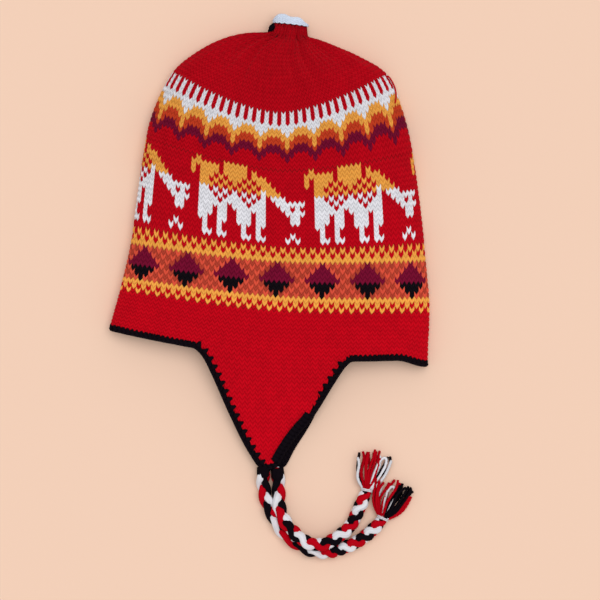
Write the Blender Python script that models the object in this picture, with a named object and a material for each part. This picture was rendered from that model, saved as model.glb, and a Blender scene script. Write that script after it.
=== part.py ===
"""A knitted earflap hat lying flat: a cinched knit body with two flaps, edging, two braids and tassels."""

import math
from collections import namedtuple

import bmesh
import bpy
import numpy as np
from mathutils import Matrix, Vector

# The knit body, in metres
BODY_HALF_WIDTH = 0.1304
BODY_LENGTH = 0.264
BODY_HEIGHT = 0.040
FOLD_HEIGHT = 0.0095
FOLD_CORNER = 0.15
KNIT_WALL = 0.003
DOME_POWER = 2.6

# Knit rows counted from the cinched tip down to the rim
BODY_ROWS = 72
GATHER_ROWS = 22
GATHER_DEPTH = 0.0016
GATHERS_ACROSS = 7

# The flaps
FLAP_HALF_WIDTH = 0.0615
FLAP_LENGTH = 0.0886
FLAP_MIDDLE = 0.0033
FLAP_DROOP = 1.7

# Edging, tie yarn and the gap that neighbouring pieces keep
TRIM_RADIUS = 0.0025
TIE_RADIUS = 0.0013
TIE_KNOT_SWELL = 1.7
CLEARANCE = 0.0003
FLOOR_GAP = 0.00005

# The ruffled end above the tie
RUFFLE_HEIGHT = 0.0165
RUFFLE_WELL = 0.006
RUFFLE_FOLDS = 8
RUFFLE_DEPTH = 0.0009
RUFFLE_LIP = 0.0007
RUFFLE_TILT = 0.10

# The ruffled end's size at a share of its height, as shares of the neck's half-width and half-depth
RuffleLine = namedtuple("RuffleLine", "up width depth")
RUFFLE_SHAPE = (
    RuffleLine(0.00, 0.98, 0.96),
    RuffleLine(0.25, 0.90, 0.88),
    RuffleLine(0.70, 0.88, 0.92),
    RuffleLine(1.00, 0.76, 0.84),
)
RUFFLE_RISES = (0.0, 0.25, 0.5, 0.75, 0.92)

# The crown tie turns round the neck, in degrees, and climbs it, in shares of RUFFLE_HEIGHT. The
# other values are shares of its length: where it climbs, stands off and swells into its knot.
TIE_START = -25
TIE_SWEEP = 185
TIE_STEPS = 14
TIE_BASE_RISE = 0.15
TIE_CLIMB = 0.28
TIE_CLIMBS_FROM = 0.75
TIE_STANDS_OFF_FROM = 0.70
TIE_KNOT_FROM = 0.84
TIE_KNOT_TO = 0.98

# Braids and tassels
BRAID_DIAMETER = 0.0096
BRAID_POINT_SPACING = 1.5 * BRAID_DIAMETER
WINDING_RADIUS = 0.0038
WINDING_LENGTH = 0.0032
TASSEL_LENGTH = 0.031
TASSEL_HEAD = 0.0043
LOCK_RADIUS = 0.0027

# Mesh fineness
COLUMNS_ACROSS = 28
BODY_RINGS = 20
FLAP_RINGS = 9
TRIM_POINT_SPACING = 0.0052
RUFFLE_COLUMNS = 48
FINE_STEPS = 240
ROUTE_STEPS = 12
WINDING_SIDES = 12
LOCK_SIDES = 7
HEAD_SEGMENTS = 14
HEAD_RINGS = 9

RED = (0.50, 0.003, 0.010)
WHITE = (0.68, 0.80, 0.90)
BLACK = (0.004, 0.006, 0.012)

# One line of stitches from the left fold to the right fold. left and right are shares of
# BODY_HALF_WIDTH, the three downs are shares of BODY_LENGTH below the tip, height is a share of
# BODY_HEIGHT, and fold and lift (fold line and underside above the table) of FOLD_HEIGHT.
Section = namedtuple("Section", "row left left_down middle_down right right_down height fold lift")
SECTIONS = (
    Section(0, -0.006, 0.000, 0.010, 0.245, 0.013, 0.49, 1.15, 0.36),
    Section(6, -0.277, 0.017, 0.084, 0.403, 0.039, 0.66, 1.05, 0.05),
    Section(12, -0.500, 0.070, 0.165, 0.602, 0.082, 0.87, 1.00, 0.0),
    Section(18, -0.623, 0.133, 0.242, 0.761, 0.140, 0.97, 1.00, 0.0),
    Section(28, -0.759, 0.286, 0.379, 0.868, 0.298, 1.00, 1.00, 0.0),
    Section(32, -0.786, 0.341, 0.435, 0.900, 0.373, 0.99, 1.00, 0.0),
    Section(50, -0.866, 0.621, 0.683, 0.972, 0.668, 0.88, 1.00, 0.0),
    Section(62, -0.943, 0.792, 0.868, 1.004, 0.864, 0.73, 0.95, 0.0),
    Section(72, -1.000, 0.898, 0.996, 1.000, 1.009, 0.62, 0.92, 0.0),
)

# A flap's edges: down is a share of FLAP_LENGTH, left and right are shares of FLAP_HALF_WIDTH.
FlapLine = namedtuple("FlapLine", "down left right")
FRONT_FLAP = (
    FlapLine(0.00, -1.010, 1.020),
    FlapLine(0.06, -0.890, 0.920),
    FlapLine(0.21, -0.753, 0.773),
    FlapLine(0.48, -0.560, 0.533),
    FlapLine(0.69, -0.407, 0.213),
    FlapLine(0.83, -0.307, 0.067),
    FlapLine(1.00, -0.160, -0.067),
)
REAR_FLAP = (
    FlapLine(0.00, -0.950, 1.020),
    FlapLine(0.06, -0.840, 0.920),
    FlapLine(0.21, -0.700, 0.773),
    FlapLine(0.48, -0.500, 0.525),
    FlapLine(0.69, -0.290, 0.330),
    FlapLine(0.83, -0.130, 0.190),
    FlapLine(1.00, 0.000, 0.093),
)
FRONT_FLAP_COLUMNS = (8, 21)
REAR_FLAP_COLUMNS = (8, 21)

# Turned profiles: along is a share of the piece's length and swell a share of its radius.
Profile = namedtuple("Profile", "along swell")
WINDING_PROFILE = (
    Profile(0.00, 0.80),
    Profile(0.12, 0.95),
    Profile(0.28, 1.00),
    Profile(0.45, 0.92),
    Profile(0.55, 0.92),
    Profile(0.72, 1.00),
    Profile(0.88, 0.95),
    Profile(1.00, 0.80),
)
LOCK_PROFILE = (
    Profile(0.00, 0.60),
    Profile(0.35, 0.95),
    Profile(0.75, 1.00),
    Profile(0.95, 0.80),
    Profile(1.00, 0.45),
)

# A lock of a tassel: turn in degrees from the tassel's axis, reach as a share of TASSEL_LENGTH,
# rise as a share of the head's height.
Lock = namedtuple("Lock", "turn reach rise")
LOCKS = (
    Lock(-19.0, 0.90, 0.62),
    Lock(-12.0, 0.97, 1.25),
    Lock(-6.0, 1.00, 0.60),
    Lock(1.0, 1.02, 1.30),
    Lock(7.0, 0.96, 0.62),
    Lock(13.0, 0.99, 1.20),
    Lock(20.0, 0.93, 0.62),
)

# Braid routes by hand, flap tip to tassel, in metres on the table.
BRAID_FRONT_ROUTE = (
    (-0.0056, -0.1946, 0.0078), (-0.0055, -0.2020, 0.0060), (-0.0030, -0.2112, 0.0050),
    (0.0020, -0.2243, 0.0050), (0.0094, -0.2382, 0.0050), (0.0190, -0.2492, 0.0050),
    (0.0312, -0.2564, 0.0050), (0.0435, -0.2592, 0.0050), (0.0545, -0.2570, 0.0050),
    (0.0672, -0.2510, 0.0050), (0.0755, -0.2470, 0.0050), (0.0812, -0.2420, 0.0050),
    (0.0877, -0.2366, 0.0050), (0.0912, -0.2325, 0.0050), (0.0926, -0.2300, 0.0050),
)
BRAID_REAR_ROUTE = (
    (0.0079, -0.1952, 0.0050), (0.0088, -0.2030, 0.0050), (0.0104, -0.2120, 0.0050),
    (0.0131, -0.2235, 0.0050), (0.0201, -0.2341, 0.0050), (0.0291, -0.2435, 0.0050),
    (0.0394, -0.2484, 0.0050), (0.0492, -0.2476, 0.0050), (0.0599, -0.2415, 0.0050),
    (0.0648, -0.2358, 0.0050), (0.0722, -0.2276, 0.0050), (0.0754, -0.2186, 0.0050),
    (0.0783, -0.2110, 0.0050), (0.0797, -0.2070, 0.0050),
)
TASSEL_FRONT_TURN = 67.0
TASSEL_REAR_TURN = 78.0

TIP_Y = 0.1685


def smooth_at(places, values, at):
    """Values read between hand-chosen places on a smooth curve that never overshoots them."""
    places, values = np.asarray(places, float), np.asarray(values, float)
    steps = np.diff(values) / np.diff(places)
    slopes = np.zeros(len(places))
    before, after = steps[:-1], steps[1:]
    same_way = before * after > 0
    slopes[1:-1][same_way] = (2 * before * after)[same_way] / (before + after)[same_way]
    slopes[0], slopes[-1] = steps[0], steps[-1]
    index = int(np.clip(np.searchsorted(places, at, side="right") - 1, 0, len(places) - 2))
    span = places[index + 1] - places[index]
    t = (at - places[index]) / span
    start, end = values[index], values[index + 1]
    return (
        start * (1 + 2 * t) * (1 - t) ** 2
        + slopes[index] * span * t * (1 - t) ** 2
        + end * t * t * (3 - 2 * t)
        + slopes[index + 1] * span * t * t * (t - 1)
    )


def section_at(row):
    rows = [section.row for section in SECTIONS]
    columns = zip(*SECTIONS)
    return Section(*(smooth_at(rows, column, row) for column in columns))


def spread_evenly(points, count):
    """The polyline read at count + 1 points that are equally far apart along it."""
    lengths = np.concatenate([[0], np.cumsum(np.linalg.norm(np.diff(points, axis=0), axis=1))])
    wanted = np.linspace(0, lengths[-1], count + 1)
    return np.stack([np.interp(wanted, lengths, points[:, axis]) for axis in range(3)], axis=1)


def body_layers(row, inset):
    """The top and the bottom layer's points at a knit row, each from the left fold to the right fold."""
    across = COLUMNS_ACROSS
    section = section_at(row)
    left, right = section.left * BODY_HALF_WIDTH, section.right * BODY_HALF_WIDTH
    middle, half = (left + right) / 2, (right - left) / 2
    left_y = TIP_Y - section.left_down * BODY_LENGTH
    right_y = TIP_Y - section.right_down * BODY_LENGTH
    middle_y = TIP_Y - section.middle_down * BODY_LENGTH
    fold, lift = section.fold * FOLD_HEIGHT, section.lift * FOLD_HEIGHT
    crest = section.height * BODY_HEIGHT - inset
    share = -np.cos(np.linspace(0, math.pi, FINE_STEPS + 1))
    x = middle + (half - inset) * share
    along = (x - middle) / half
    y = middle_y + (right_y - left_y) / 2 * along + ((right_y + left_y) / 2 - middle_y) * along**2
    dome = np.sqrt(np.clip(1 - np.abs(share) ** DOME_POWER, 0, 1))
    corner = np.clip((np.abs(share) - (1 - FOLD_CORNER)) / FOLD_CORNER, 0, 1)
    floor = fold - (fold - lift - inset) * np.sqrt(1 - corner**2)
    top = spread_evenly(np.stack([x, y, fold + (crest - fold) * dome], axis=1), across)
    bottom = spread_evenly(np.stack([x, y, floor], axis=1), across)
    depth = GATHER_DEPTH * max(0.0, 1 - row / GATHER_ROWS)
    wave = np.cos(2 * math.pi * GATHERS_ACROSS * np.arange(across + 1) / across)
    weight = np.clip((top[:, 2] - fold) / max(crest - fold, 1e-6), 0, 1)
    top[:, 2] += depth * wave * weight
    return top, bottom


def body_ring(row, inset):
    """One closed ring of points: over the top from the left fold, then back under it."""
    top, bottom = body_layers(row, inset)
    return np.concatenate([top[:-1], bottom[:0:-1]])


def flap_line(table, down, rim):
    """One row of a flap: rim is the row of body points that it hangs from."""
    places = [line.down for line in table]
    left = smooth_at(places, [line.left for line in table], down) * FLAP_HALF_WIDTH + FLAP_MIDDLE
    right = smooth_at(places, [line.right for line in table], down) * FLAP_HALF_WIDTH + FLAP_MIDDLE
    share = np.linspace(0, 1, len(rim))
    tip_y = rim[:, 1].min() - FLAP_LENGTH
    row = np.empty_like(rim)
    row[:, 0] = left + (right - left) * share
    row[:, 1] = rim[:, 1] + (tip_y - rim[:, 1]) * down
    return row


def front_flap_lift():
    """Mid-plane height of the front flap's tip, whose edging lies on the rear flap's edging."""
    return 3 * TRIM_RADIUS + FLOOR_GAP + 2 * CLEARANCE


def flap_rows(table, rim, inset, is_front):
    """The flap's rows below the rim, each an array of points from its left edge to its right."""
    rows = []
    for ring in range(1, FLAP_RINGS + 1):
        down = ring / FLAP_RINGS
        row = flap_line(table, down, rim)
        if is_front:
            tip = front_flap_lift() + KNIT_WALL / 2 - inset
            row[:, 2] = tip + (rim[:, 2] - tip) * (1 - down) ** FLAP_DROOP
        else:
            row[:, 2] = inset
        rows.append(row)
    return rows


def body_skin(inset, first_row):
    """Rings of the body and rows of both flaps for the outer skin, or the inner one at an inset."""
    rows = np.linspace(first_row, BODY_ROWS, BODY_RINGS + 1)
    rings = [body_ring(row, inset) for row in rows]
    top, bottom = body_layers(BODY_ROWS, inset)
    front_first, front_last = FRONT_FLAP_COLUMNS
    rear_first, rear_last = REAR_FLAP_COLUMNS
    front = flap_rows(FRONT_FLAP, top[front_first : front_last + 1], inset, True)
    rear = flap_rows(REAR_FLAP, bottom[rear_first : rear_last + 1], inset, False)
    return rings, front, rear


def ring_slot(is_front, column):
    """A rim point's place in its ring, for a column counted from the left fold."""
    return column if is_front else (2 * COLUMNS_ACROSS - column) % (2 * COLUMNS_ACROSS)


def add_skin(mesh, inset, first_row):
    """Adds a skin's points and returns them with its faces, wound for a skin that faces out."""
    rings, front, rear = body_skin(inset, first_row)
    vert_rings = [[mesh.verts.new(point) for point in ring] for ring in rings]
    count = len(vert_rings[0])
    faces = []
    for upper, lower in zip(vert_rings, vert_rings[1:]):
        for k in range(count):
            following = (k + 1) % count
            faces.append((upper[k], lower[k], lower[following], upper[following]))
    pole = mesh.verts.new(rings[0].mean(axis=0))
    for k in range(count):
        faces.append((pole, vert_rings[0][k], vert_rings[0][(k + 1) % count]))
    sides = []
    for is_front, rows, (first, last) in (
        (True, front, FRONT_FLAP_COLUMNS),
        (False, rear, REAR_FLAP_COLUMNS),
    ):
        grid = [[vert_rings[-1][ring_slot(is_front, column)] for column in range(first, last + 1)]]
        grid += [[mesh.verts.new(point) for point in row] for row in rows]
        for upper, lower in zip(grid, grid[1:]):
            for k in range(last - first):
                face = (upper[k], lower[k], lower[k + 1], upper[k + 1])
                faces.append(face if is_front else face[::-1])
        sides.append(grid)
    return vert_rings[-1], sides, faces


def edge_loop(rim, sides):
    """The fabric's free edge as one closed loop of points: front rim and flap, then the rear's."""
    front, rear = sides
    loop = []
    for is_front, grid, (first, last) in (
        (True, front, FRONT_FLAP_COLUMNS),
        (False, rear, REAR_FLAP_COLUMNS),
    ):
        half = [rim[ring_slot(is_front, column)] for column in range(first)]
        half += [row[0] for row in grid[:-1]]
        half += grid[-1]
        half += [row[-1] for row in grid[-2::-1]]
        half += [rim[ring_slot(is_front, column)] for column in range(last + 1, COLUMNS_ACROSS)]
        if is_front:
            loop += half
        else:
            right_fold = rim[ring_slot(True, COLUMNS_ACROSS)]
            loop += [right_fold] + half[:0:-1]
    return loop


def make_object(name, mesh, material):
    data = bpy.data.meshes.new(name)
    mesh.to_mesh(data)
    mesh.free()
    data.shade_smooth()
    data.materials.append(material)
    obj = bpy.data.objects.new(name, data)
    bpy.context.scene.collection.objects.link(obj)
    return obj


def make_material(name, colour, roughness):
    material = bpy.data.materials.new(name)
    material.use_nodes = True
    shader = material.node_tree.nodes["Principled BSDF"]
    shader.inputs["Base Color"].default_value = (*colour, 1.0)
    shader.inputs["Roughness"].default_value = roughness
    shader.inputs["Metallic"].default_value = 0.0
    return material


def build_shell(material):
    """The knit body and flaps as one hollow wall, open at the mouth between the flaps."""
    mesh = bmesh.new()
    outer_rim, outer_sides, outer_faces = add_skin(mesh, 0.0, 0.0)
    cap_rows = KNIT_WALL / BODY_LENGTH * BODY_ROWS
    inner_rim, inner_sides, inner_faces = add_skin(mesh, KNIT_WALL, cap_rows)
    for face in outer_faces:
        mesh.faces.new(face)
    for face in inner_faces:
        mesh.faces.new(face[::-1])
    outer_loop, inner_loop = edge_loop(outer_rim, outer_sides), edge_loop(inner_rim, inner_sides)
    for k in range(len(outer_loop)):
        following = (k + 1) % len(outer_loop)
        mesh.faces.new((outer_loop[k], inner_loop[k], inner_loop[following], outer_loop[following]))
    edge = np.array([(a.co + b.co) / 2 for a, b in zip(outer_loop, inner_loop)])
    bmesh.ops.recalc_face_normals(mesh, faces=mesh.faces)
    return make_object("knit_shell", mesh, material), edge


def densify(points, parts):
    """A closed polyline with each of its segments cut into equal parts."""
    following = np.roll(points, -1, axis=0)
    steps = np.arange(parts) / parts
    return (points[:, None] * (1 - steps[:, None]) + following[:, None] * steps[:, None]).reshape(-1, 3)


def keep_clear(path, edge, reach):
    """Moves the points of a closed path away from the fabric's edge until all of it is at reach."""
    parts = 4
    for _ in range(16):
        fine = densify(path, parts)
        away = fine[:, None] - edge[None]
        distance = np.linalg.norm(away, axis=2)
        nearest = distance.argmin(axis=1)
        pick = np.arange(len(fine))
        gap = distance[pick, nearest]
        push = away[pick, nearest] / gap[:, None] * np.maximum(reach - gap, 0)[:, None]
        push = push.reshape(len(path), parts, 3)
        around = np.concatenate([push, np.roll(push, 1, axis=0)[:, 1:]], axis=1)
        worst = np.linalg.norm(around, axis=2).argmax(axis=1)
        path = path + around[np.arange(len(path)), worst]
    return path


def outward_of(edge):
    """Unit directions that point out of the fabric at its free edge, level with the table."""
    tangent = np.roll(edge, -1, axis=0) - np.roll(edge, 1, axis=0)
    outward = np.stack([tangent[:, 1], -tangent[:, 0], np.zeros(len(edge))], axis=1)
    uphill = outward[:, 1] > 0.3 * np.linalg.norm(outward, axis=1)
    outward[uphill] *= -1
    steep = np.linalg.norm(outward, axis=1) < 0.5 * np.linalg.norm(tangent, axis=1)
    outward[steep] = (0.0, -1.0, 0.0)
    return outward / np.linalg.norm(outward, axis=1)[:, None]


def trim_path(edge):
    """The edging's centreline: the free edge moved outwards, evened out and kept clear of the knit."""
    reach = TRIM_RADIUS + 2 * CLEARANCE
    fine_edge = densify(edge, 8)
    path = densify(edge + outward_of(edge) * reach, 6)
    for _ in range(6):
        path = (np.roll(path, 1, axis=0) + 2 * path + np.roll(path, -1, axis=0)) / 4
    closed = np.concatenate([path, path[:1]])
    length = np.linalg.norm(np.diff(closed, axis=0), axis=1).sum()
    path = spread_evenly(closed, round(length / TRIM_POINT_SPACING))[:-1]
    path = keep_clear(path, fine_edge, reach)
    path[:, 2] = np.maximum(path[:, 2], TRIM_RADIUS + FLOOR_GAP)
    return path


def make_tube(name, points, radius, material, closed=False, swell=None, fineness=2):
    """A round tube along the points, as a bevelled curve."""
    curve = bpy.data.curves.new(name, "CURVE")
    curve.dimensions = "3D"
    curve.bevel_depth = radius
    curve.bevel_resolution = fineness
    curve.use_fill_caps = not closed
    spline = curve.splines.new("POLY")
    spline.points.add(len(points) - 1)
    for k, (slot, point) in enumerate(zip(spline.points, points)):
        slot.co = (*point, 1.0)
        slot.radius = swell[k] if swell is not None else 1.0
    spline.use_cyclic_u = closed
    spline.use_smooth = True
    curve.materials.append(material)
    obj = bpy.data.objects.new(name, curve)
    bpy.context.scene.collection.objects.link(obj)
    return obj


def ruffle_ring(share_up, inset, drop=0.0):
    """A ring of the ruffled end at a share of its height, round the neck's own middle."""
    section = SECTIONS[0]
    left, right = section.left * BODY_HALF_WIDTH, section.right * BODY_HALF_WIDTH
    half = (right - left) / 2
    low, high = section.lift * FOLD_HEIGHT, section.height * BODY_HEIGHT
    turn = np.linspace(0, 2 * math.pi, RUFFLE_COLUMNS, endpoint=False)
    ups, widths, depths = zip(*RUFFLE_SHAPE)
    width = half * smooth_at(ups, widths, share_up) - inset
    depth = (high - low) / 2 * smooth_at(ups, depths, share_up) - inset
    ruffle = RUFFLE_DEPTH * share_up * np.cos(RUFFLE_FOLDS * turn)
    x = (left + right) / 2 + (width + ruffle) * np.cos(turn)
    z = (low + high) / 2 + (depth + ruffle) * np.sin(turn)
    across = np.cos(turn)
    left_y = TIP_Y - section.left_down * BODY_LENGTH
    right_y = TIP_Y - section.right_down * BODY_LENGTH
    base = (left_y + right_y) / 2 + (right_y - left_y) / 2 * across
    tilt = -RUFFLE_TILT * RUFFLE_HEIGHT * across * share_up
    y = base + 2 * CLEARANCE + RUFFLE_HEIGHT * share_up + tilt - drop
    return np.stack([x, y, z], axis=1)


def build_ruffle(material):
    """The short ruffled end: up the outside, over its rolled rim and down into a shallow well."""
    mesh = bmesh.new()
    rings = [ruffle_ring(share, 0.0) for share in RUFFLE_RISES]
    rings.append(ruffle_ring(1.0, RUFFLE_LIP))
    rings.append(ruffle_ring(1.0, KNIT_WALL))
    rings.append(ruffle_ring(1.0, KNIT_WALL * 4 / 3, RUFFLE_WELL / 2))
    rings.append(ruffle_ring(1.0, KNIT_WALL * 5 / 3, RUFFLE_WELL))
    verts = [[mesh.verts.new(point) for point in ring] for ring in rings]
    count = RUFFLE_COLUMNS
    for lower, upper in zip(verts, verts[1:]):
        for k in range(count):
            mesh.faces.new((lower[k], lower[(k + 1) % count], upper[(k + 1) % count], upper[k]))
    for ring, points in ((verts[0], rings[0]), (verts[-1], rings[-1])):
        middle = mesh.verts.new(points.mean(axis=0))
        for k in range(count):
            mesh.faces.new((middle, ring[k], ring[(k + 1) % count]))
    bmesh.ops.recalc_face_normals(mesh, faces=mesh.faces)
    return make_object("top_ruffle", mesh, material)


def build_crown_tie(material):
    """The yarn that cinches the tip: under the neck, up its left side and into a small knot."""
    section = SECTIONS[0]
    left, right = section.left * BODY_HALF_WIDTH, section.right * BODY_HALF_WIDTH
    low, high = section.lift * FOLD_HEIGHT, section.height * BODY_HEIGHT
    reach = TIE_RADIUS * TIE_KNOT_SWELL + CLEARANCE + RUFFLE_DEPTH
    points, swell = [], []
    for k in range(TIE_STEPS + 1):
        share = k / TIE_STEPS
        turn = math.radians(TIE_START - TIE_SWEEP * share)
        rise = max(0.0, share - TIE_CLIMBS_FROM) / (1 - TIE_CLIMBS_FROM)
        yarn_reach = reach if share > TIE_STANDS_OFF_FROM else TIE_RADIUS + CLEARANCE
        x = (left + right) / 2 + ((right - left) / 2 + yarn_reach) * math.cos(turn)
        z = (low + high) / 2 + ((high - low) / 2 + yarn_reach) * math.sin(turn)
        across = math.cos(turn)
        y = TIP_Y - (section.left_down + section.right_down) / 2 * BODY_LENGTH
        y += (section.left_down - section.right_down) / 2 * BODY_LENGTH * across
        y += RUFFLE_HEIGHT * (TIE_BASE_RISE + TIE_CLIMB * rise)
        points.append((x, y, max(z, TIE_RADIUS + FLOOR_GAP)))
        swell.append(TIE_KNOT_SWELL if TIE_KNOT_FROM < share < TIE_KNOT_TO else 1.0)
    return make_tube("crown_tie", points, TIE_RADIUS, material, swell=swell)


def smooth_route(points, spacing):
    """A route's chosen points joined by one smooth curve and read at about equal spacing."""
    points = np.asarray(points, float)
    ahead = np.concatenate([points[:1], points, points[-1:]])
    fine = []
    for k in range(len(points) - 1):
        a, b, c, d = ahead[k : k + 4]
        bend, twist = 2 * a - 5 * b + 4 * c - d, 3 * b - a - 3 * c + d
        for t in np.linspace(0, 1, ROUTE_STEPS, endpoint=False):
            fine.append(b + ((c - a) * t + bend * t**2 + twist * t**3) / 2)
    fine = np.array([*fine, points[-1]])
    length = np.linalg.norm(np.diff(fine, axis=0), axis=1).sum()
    return spread_evenly(fine, max(2, round(length / spacing)))


def frame_at(place, heading):
    """A frame at a place whose +Z points along the heading and whose +X lies flat to its side."""
    forward = Vector(heading).normalized()
    side = forward.cross(Vector((0, 0, 1))).normalized()
    above = forward.cross(side)
    turned = Matrix((side, above, forward)).transposed().to_4x4()
    return Matrix.Translation(Vector(place)) @ turned


def build_winding(name, frame, material):
    """The yarn wound round a braid's end: a short barrel with two raised turns."""
    return build_turned(name, frame, WINDING_PROFILE, WINDING_RADIUS, WINDING_LENGTH, WINDING_SIDES, material)


def build_turned(name, frame, profile, radius, length, sides, material):
    """A closed piece turned round the frame's own Z from a profile."""
    mesh = bmesh.new()
    rings = []
    for along, swell in profile:
        ring = []
        for k in range(sides):
            turn = 2 * math.pi * k / sides
            local = Vector((math.cos(turn), math.sin(turn), 0.0)) * radius * swell
            ring.append(mesh.verts.new(frame @ (local + Vector((0, 0, along * length)))))
        rings.append(ring)
    for lower, upper in zip(rings, rings[1:]):
        for k in range(sides):
            mesh.faces.new((lower[k], lower[(k + 1) % sides], upper[(k + 1) % sides], upper[k]))
    mesh.faces.new(rings[0][::-1])
    mesh.faces.new(rings[-1])
    bmesh.ops.recalc_face_normals(mesh, faces=mesh.faces)
    return make_object(name, mesh, material)


def build_lock(name, start, heading, length, material):
    """One lock of yarn: a slim spindle that thins to a blunt end."""
    frame = frame_at(start, heading)
    lock = build_turned(name, frame, LOCK_PROFILE, LOCK_RADIUS, length, LOCK_SIDES, material)
    lock.hide_render = True
    lock.display_type = "WIRE"
    return lock


def build_tassel(name, start, turn, material):
    """A round head with its locks fused to it, lying on the table and opening to one side."""
    heading = Vector((math.cos(math.radians(turn)), math.sin(math.radians(turn)), 0.0))
    centre = Vector(start) + heading * TASSEL_HEAD
    mesh = bmesh.new()
    bmesh.ops.create_uvsphere(
        mesh, u_segments=HEAD_SEGMENTS, v_segments=HEAD_RINGS, radius=TASSEL_HEAD
    )
    bmesh.ops.transform(mesh, matrix=frame_at(centre, heading), verts=mesh.verts)
    head = make_object(name, mesh, material)
    for k, lock in enumerate(LOCKS):
        aim = math.radians(turn + lock.turn)
        rise = (lock.rise - 1) * TASSEL_HEAD
        reach = lock.reach * TASSEL_LENGTH - TASSEL_HEAD
        way = Vector((math.cos(aim) * reach, math.sin(aim) * reach, rise))
        piece = build_lock(f"{name}_lock_{k}", centre, way, reach, material)
        fuse = head.modifiers.new(f"fuse_{k}", "BOOLEAN")
        fuse.operation = "UNION"
        fuse.object = piece
    return head


def build_braid(side, route, tassel_turn, braid_material, white, red):
    """A braid with the winding and the tassel on its end. Returns the pieces made."""
    points = smooth_route(route, BRAID_POINT_SPACING)
    braid = make_tube(f"braid_{side}", points, BRAID_DIAMETER / 2, braid_material, fineness=4)
    heading = Vector((math.cos(math.radians(tassel_turn)), math.sin(math.radians(tassel_turn)), 0.0))
    last = Vector(points[-1] - points[-2]).normalized()
    tilt = last.cross(heading).length
    seat = Vector(points[-1]) + heading * (CLEARANCE + tilt * BRAID_DIAMETER / 2)
    winding = build_winding(f"tassel_tie_{side}", frame_at(seat, heading), white)
    start = seat + heading * (WINDING_LENGTH + CLEARANCE)
    tassel = build_tassel(f"tassel_{side}", start, tassel_turn, red)
    return [braid, winding, tassel]


def measured_box(objects):
    bpy.context.view_layer.update()
    graph = bpy.context.evaluated_depsgraph_get()
    lows, highs = [], []
    for obj in objects:
        evaluated = obj.evaluated_get(graph)
        mesh = evaluated.to_mesh()
        points = np.array([tuple(evaluated.matrix_world @ vertex.co) for vertex in mesh.vertices])
        evaluated.to_mesh_clear()
        lows.append(points.min(axis=0))
        highs.append(points.max(axis=0))
    return np.min(lows, axis=0), np.max(highs, axis=0)


def main():
    for obj in list(bpy.data.objects):
        bpy.data.objects.remove(obj)
    red = make_material("knit_red", RED, 0.9)
    black = make_material("yarn_black", BLACK, 0.85)
    white = make_material("yarn_white", WHITE, 0.85)
    shell, edge = build_shell(red)
    trim = make_tube("edge_trim", trim_path(edge), TRIM_RADIUS, black, closed=True)
    ruffle = build_ruffle(red)
    tie = build_crown_tie(black)
    hat = [shell, trim, ruffle, tie]
    cords = build_braid("front", BRAID_FRONT_ROUTE, TASSEL_FRONT_TURN, red, white, red)
    cords += build_braid("rear", BRAID_REAR_ROUTE, TASSEL_REAR_TURN, red, white, red)
    low, high = measured_box(hat)
    middle = (low + high) / 2
    shift = Vector((-middle[0], -middle[1], 0.0))
    for obj in bpy.data.objects:
        obj.location = obj.location + shift
    bpy.context.view_layer.update()


main()
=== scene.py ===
"""A knitted earflap hat that lies flat, made stitch by stitch: knit bands, edging, topknot and braids."""

import math
from collections import namedtuple

import bpy
import numpy as np
from bpy.props import FloatProperty, FloatVectorProperty, IntProperty, PointerProperty
from bpy.types import Operator, Panel, PropertyGroup
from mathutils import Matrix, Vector


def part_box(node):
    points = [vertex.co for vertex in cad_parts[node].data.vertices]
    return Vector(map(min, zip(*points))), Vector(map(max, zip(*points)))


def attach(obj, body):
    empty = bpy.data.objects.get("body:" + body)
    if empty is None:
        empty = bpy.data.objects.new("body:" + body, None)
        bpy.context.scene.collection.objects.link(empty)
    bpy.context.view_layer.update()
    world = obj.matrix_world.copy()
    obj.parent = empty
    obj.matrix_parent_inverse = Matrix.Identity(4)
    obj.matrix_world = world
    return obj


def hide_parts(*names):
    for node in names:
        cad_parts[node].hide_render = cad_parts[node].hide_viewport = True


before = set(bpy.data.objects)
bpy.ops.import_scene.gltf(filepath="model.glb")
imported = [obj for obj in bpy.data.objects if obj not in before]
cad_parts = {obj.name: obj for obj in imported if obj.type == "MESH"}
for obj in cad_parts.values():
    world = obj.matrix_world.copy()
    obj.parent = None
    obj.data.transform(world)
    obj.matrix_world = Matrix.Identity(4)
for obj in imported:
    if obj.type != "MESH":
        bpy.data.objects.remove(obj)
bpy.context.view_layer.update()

bl_info = {
    "name": "Knitted Earflap Hat",
    "version": (1, 0, 0),
    "blender": (4, 5, 0),
    "location": "3D View > Sidebar > Hat",
    "description": "Knits an earflap hat with its edging, braids and tassels round a packed model",
    "category": "Object",
}

# The knit body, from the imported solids
SHELL_LOW, SHELL_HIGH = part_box("knit_shell")
SHELL_SPAN = 2.004
BODY_HALF_WIDTH = (SHELL_HIGH.x - SHELL_LOW.x) / SHELL_SPAN
BODY_MIDDLE_X = SHELL_LOW.x + BODY_HALF_WIDTH
TIP_Y = SHELL_HIGH.y
BODY_HEIGHT = SHELL_HIGH.z
BODY_LENGTH = 0.264
FOLD_HEIGHT = 0.0095
FOLD_CORNER = 0.15
KNIT_WALL = 0.003
DOME_POWER = 2.6

# The flaps, counted from the rim
FLAP_HALF_WIDTH = 0.0615
FLAP_LENGTH = 0.0886
FLAP_MIDDLE = BODY_MIDDLE_X + 0.0033
FLAP_DROOP = 1.7
FLAP_TIP_HEIGHT = 0.00965

# The lattice of stitches: columns round the hat from the left fold, rows down from the tip
FRONT_COLUMNS = 63
COLUMNS = 2 * FRONT_COLUMNS
BODY_ROWS = 72
FLAP_ROWS = 24
STEPS_ACROSS = 4
FINE_ALONG = 4
PLAIN_ALONG = 2
STITCH_STEPS = 2 * FINE_ALONG
SLANT = 0.72
FULL_STITCH_WIDTH = 0.0030
ROW_BOW = 1.6
CORNER_DROP = 0.0062
TABLE_STEP = 0.25
FINE_STEPS = 240
UP = (0.0, 0.0, 1.0)

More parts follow.
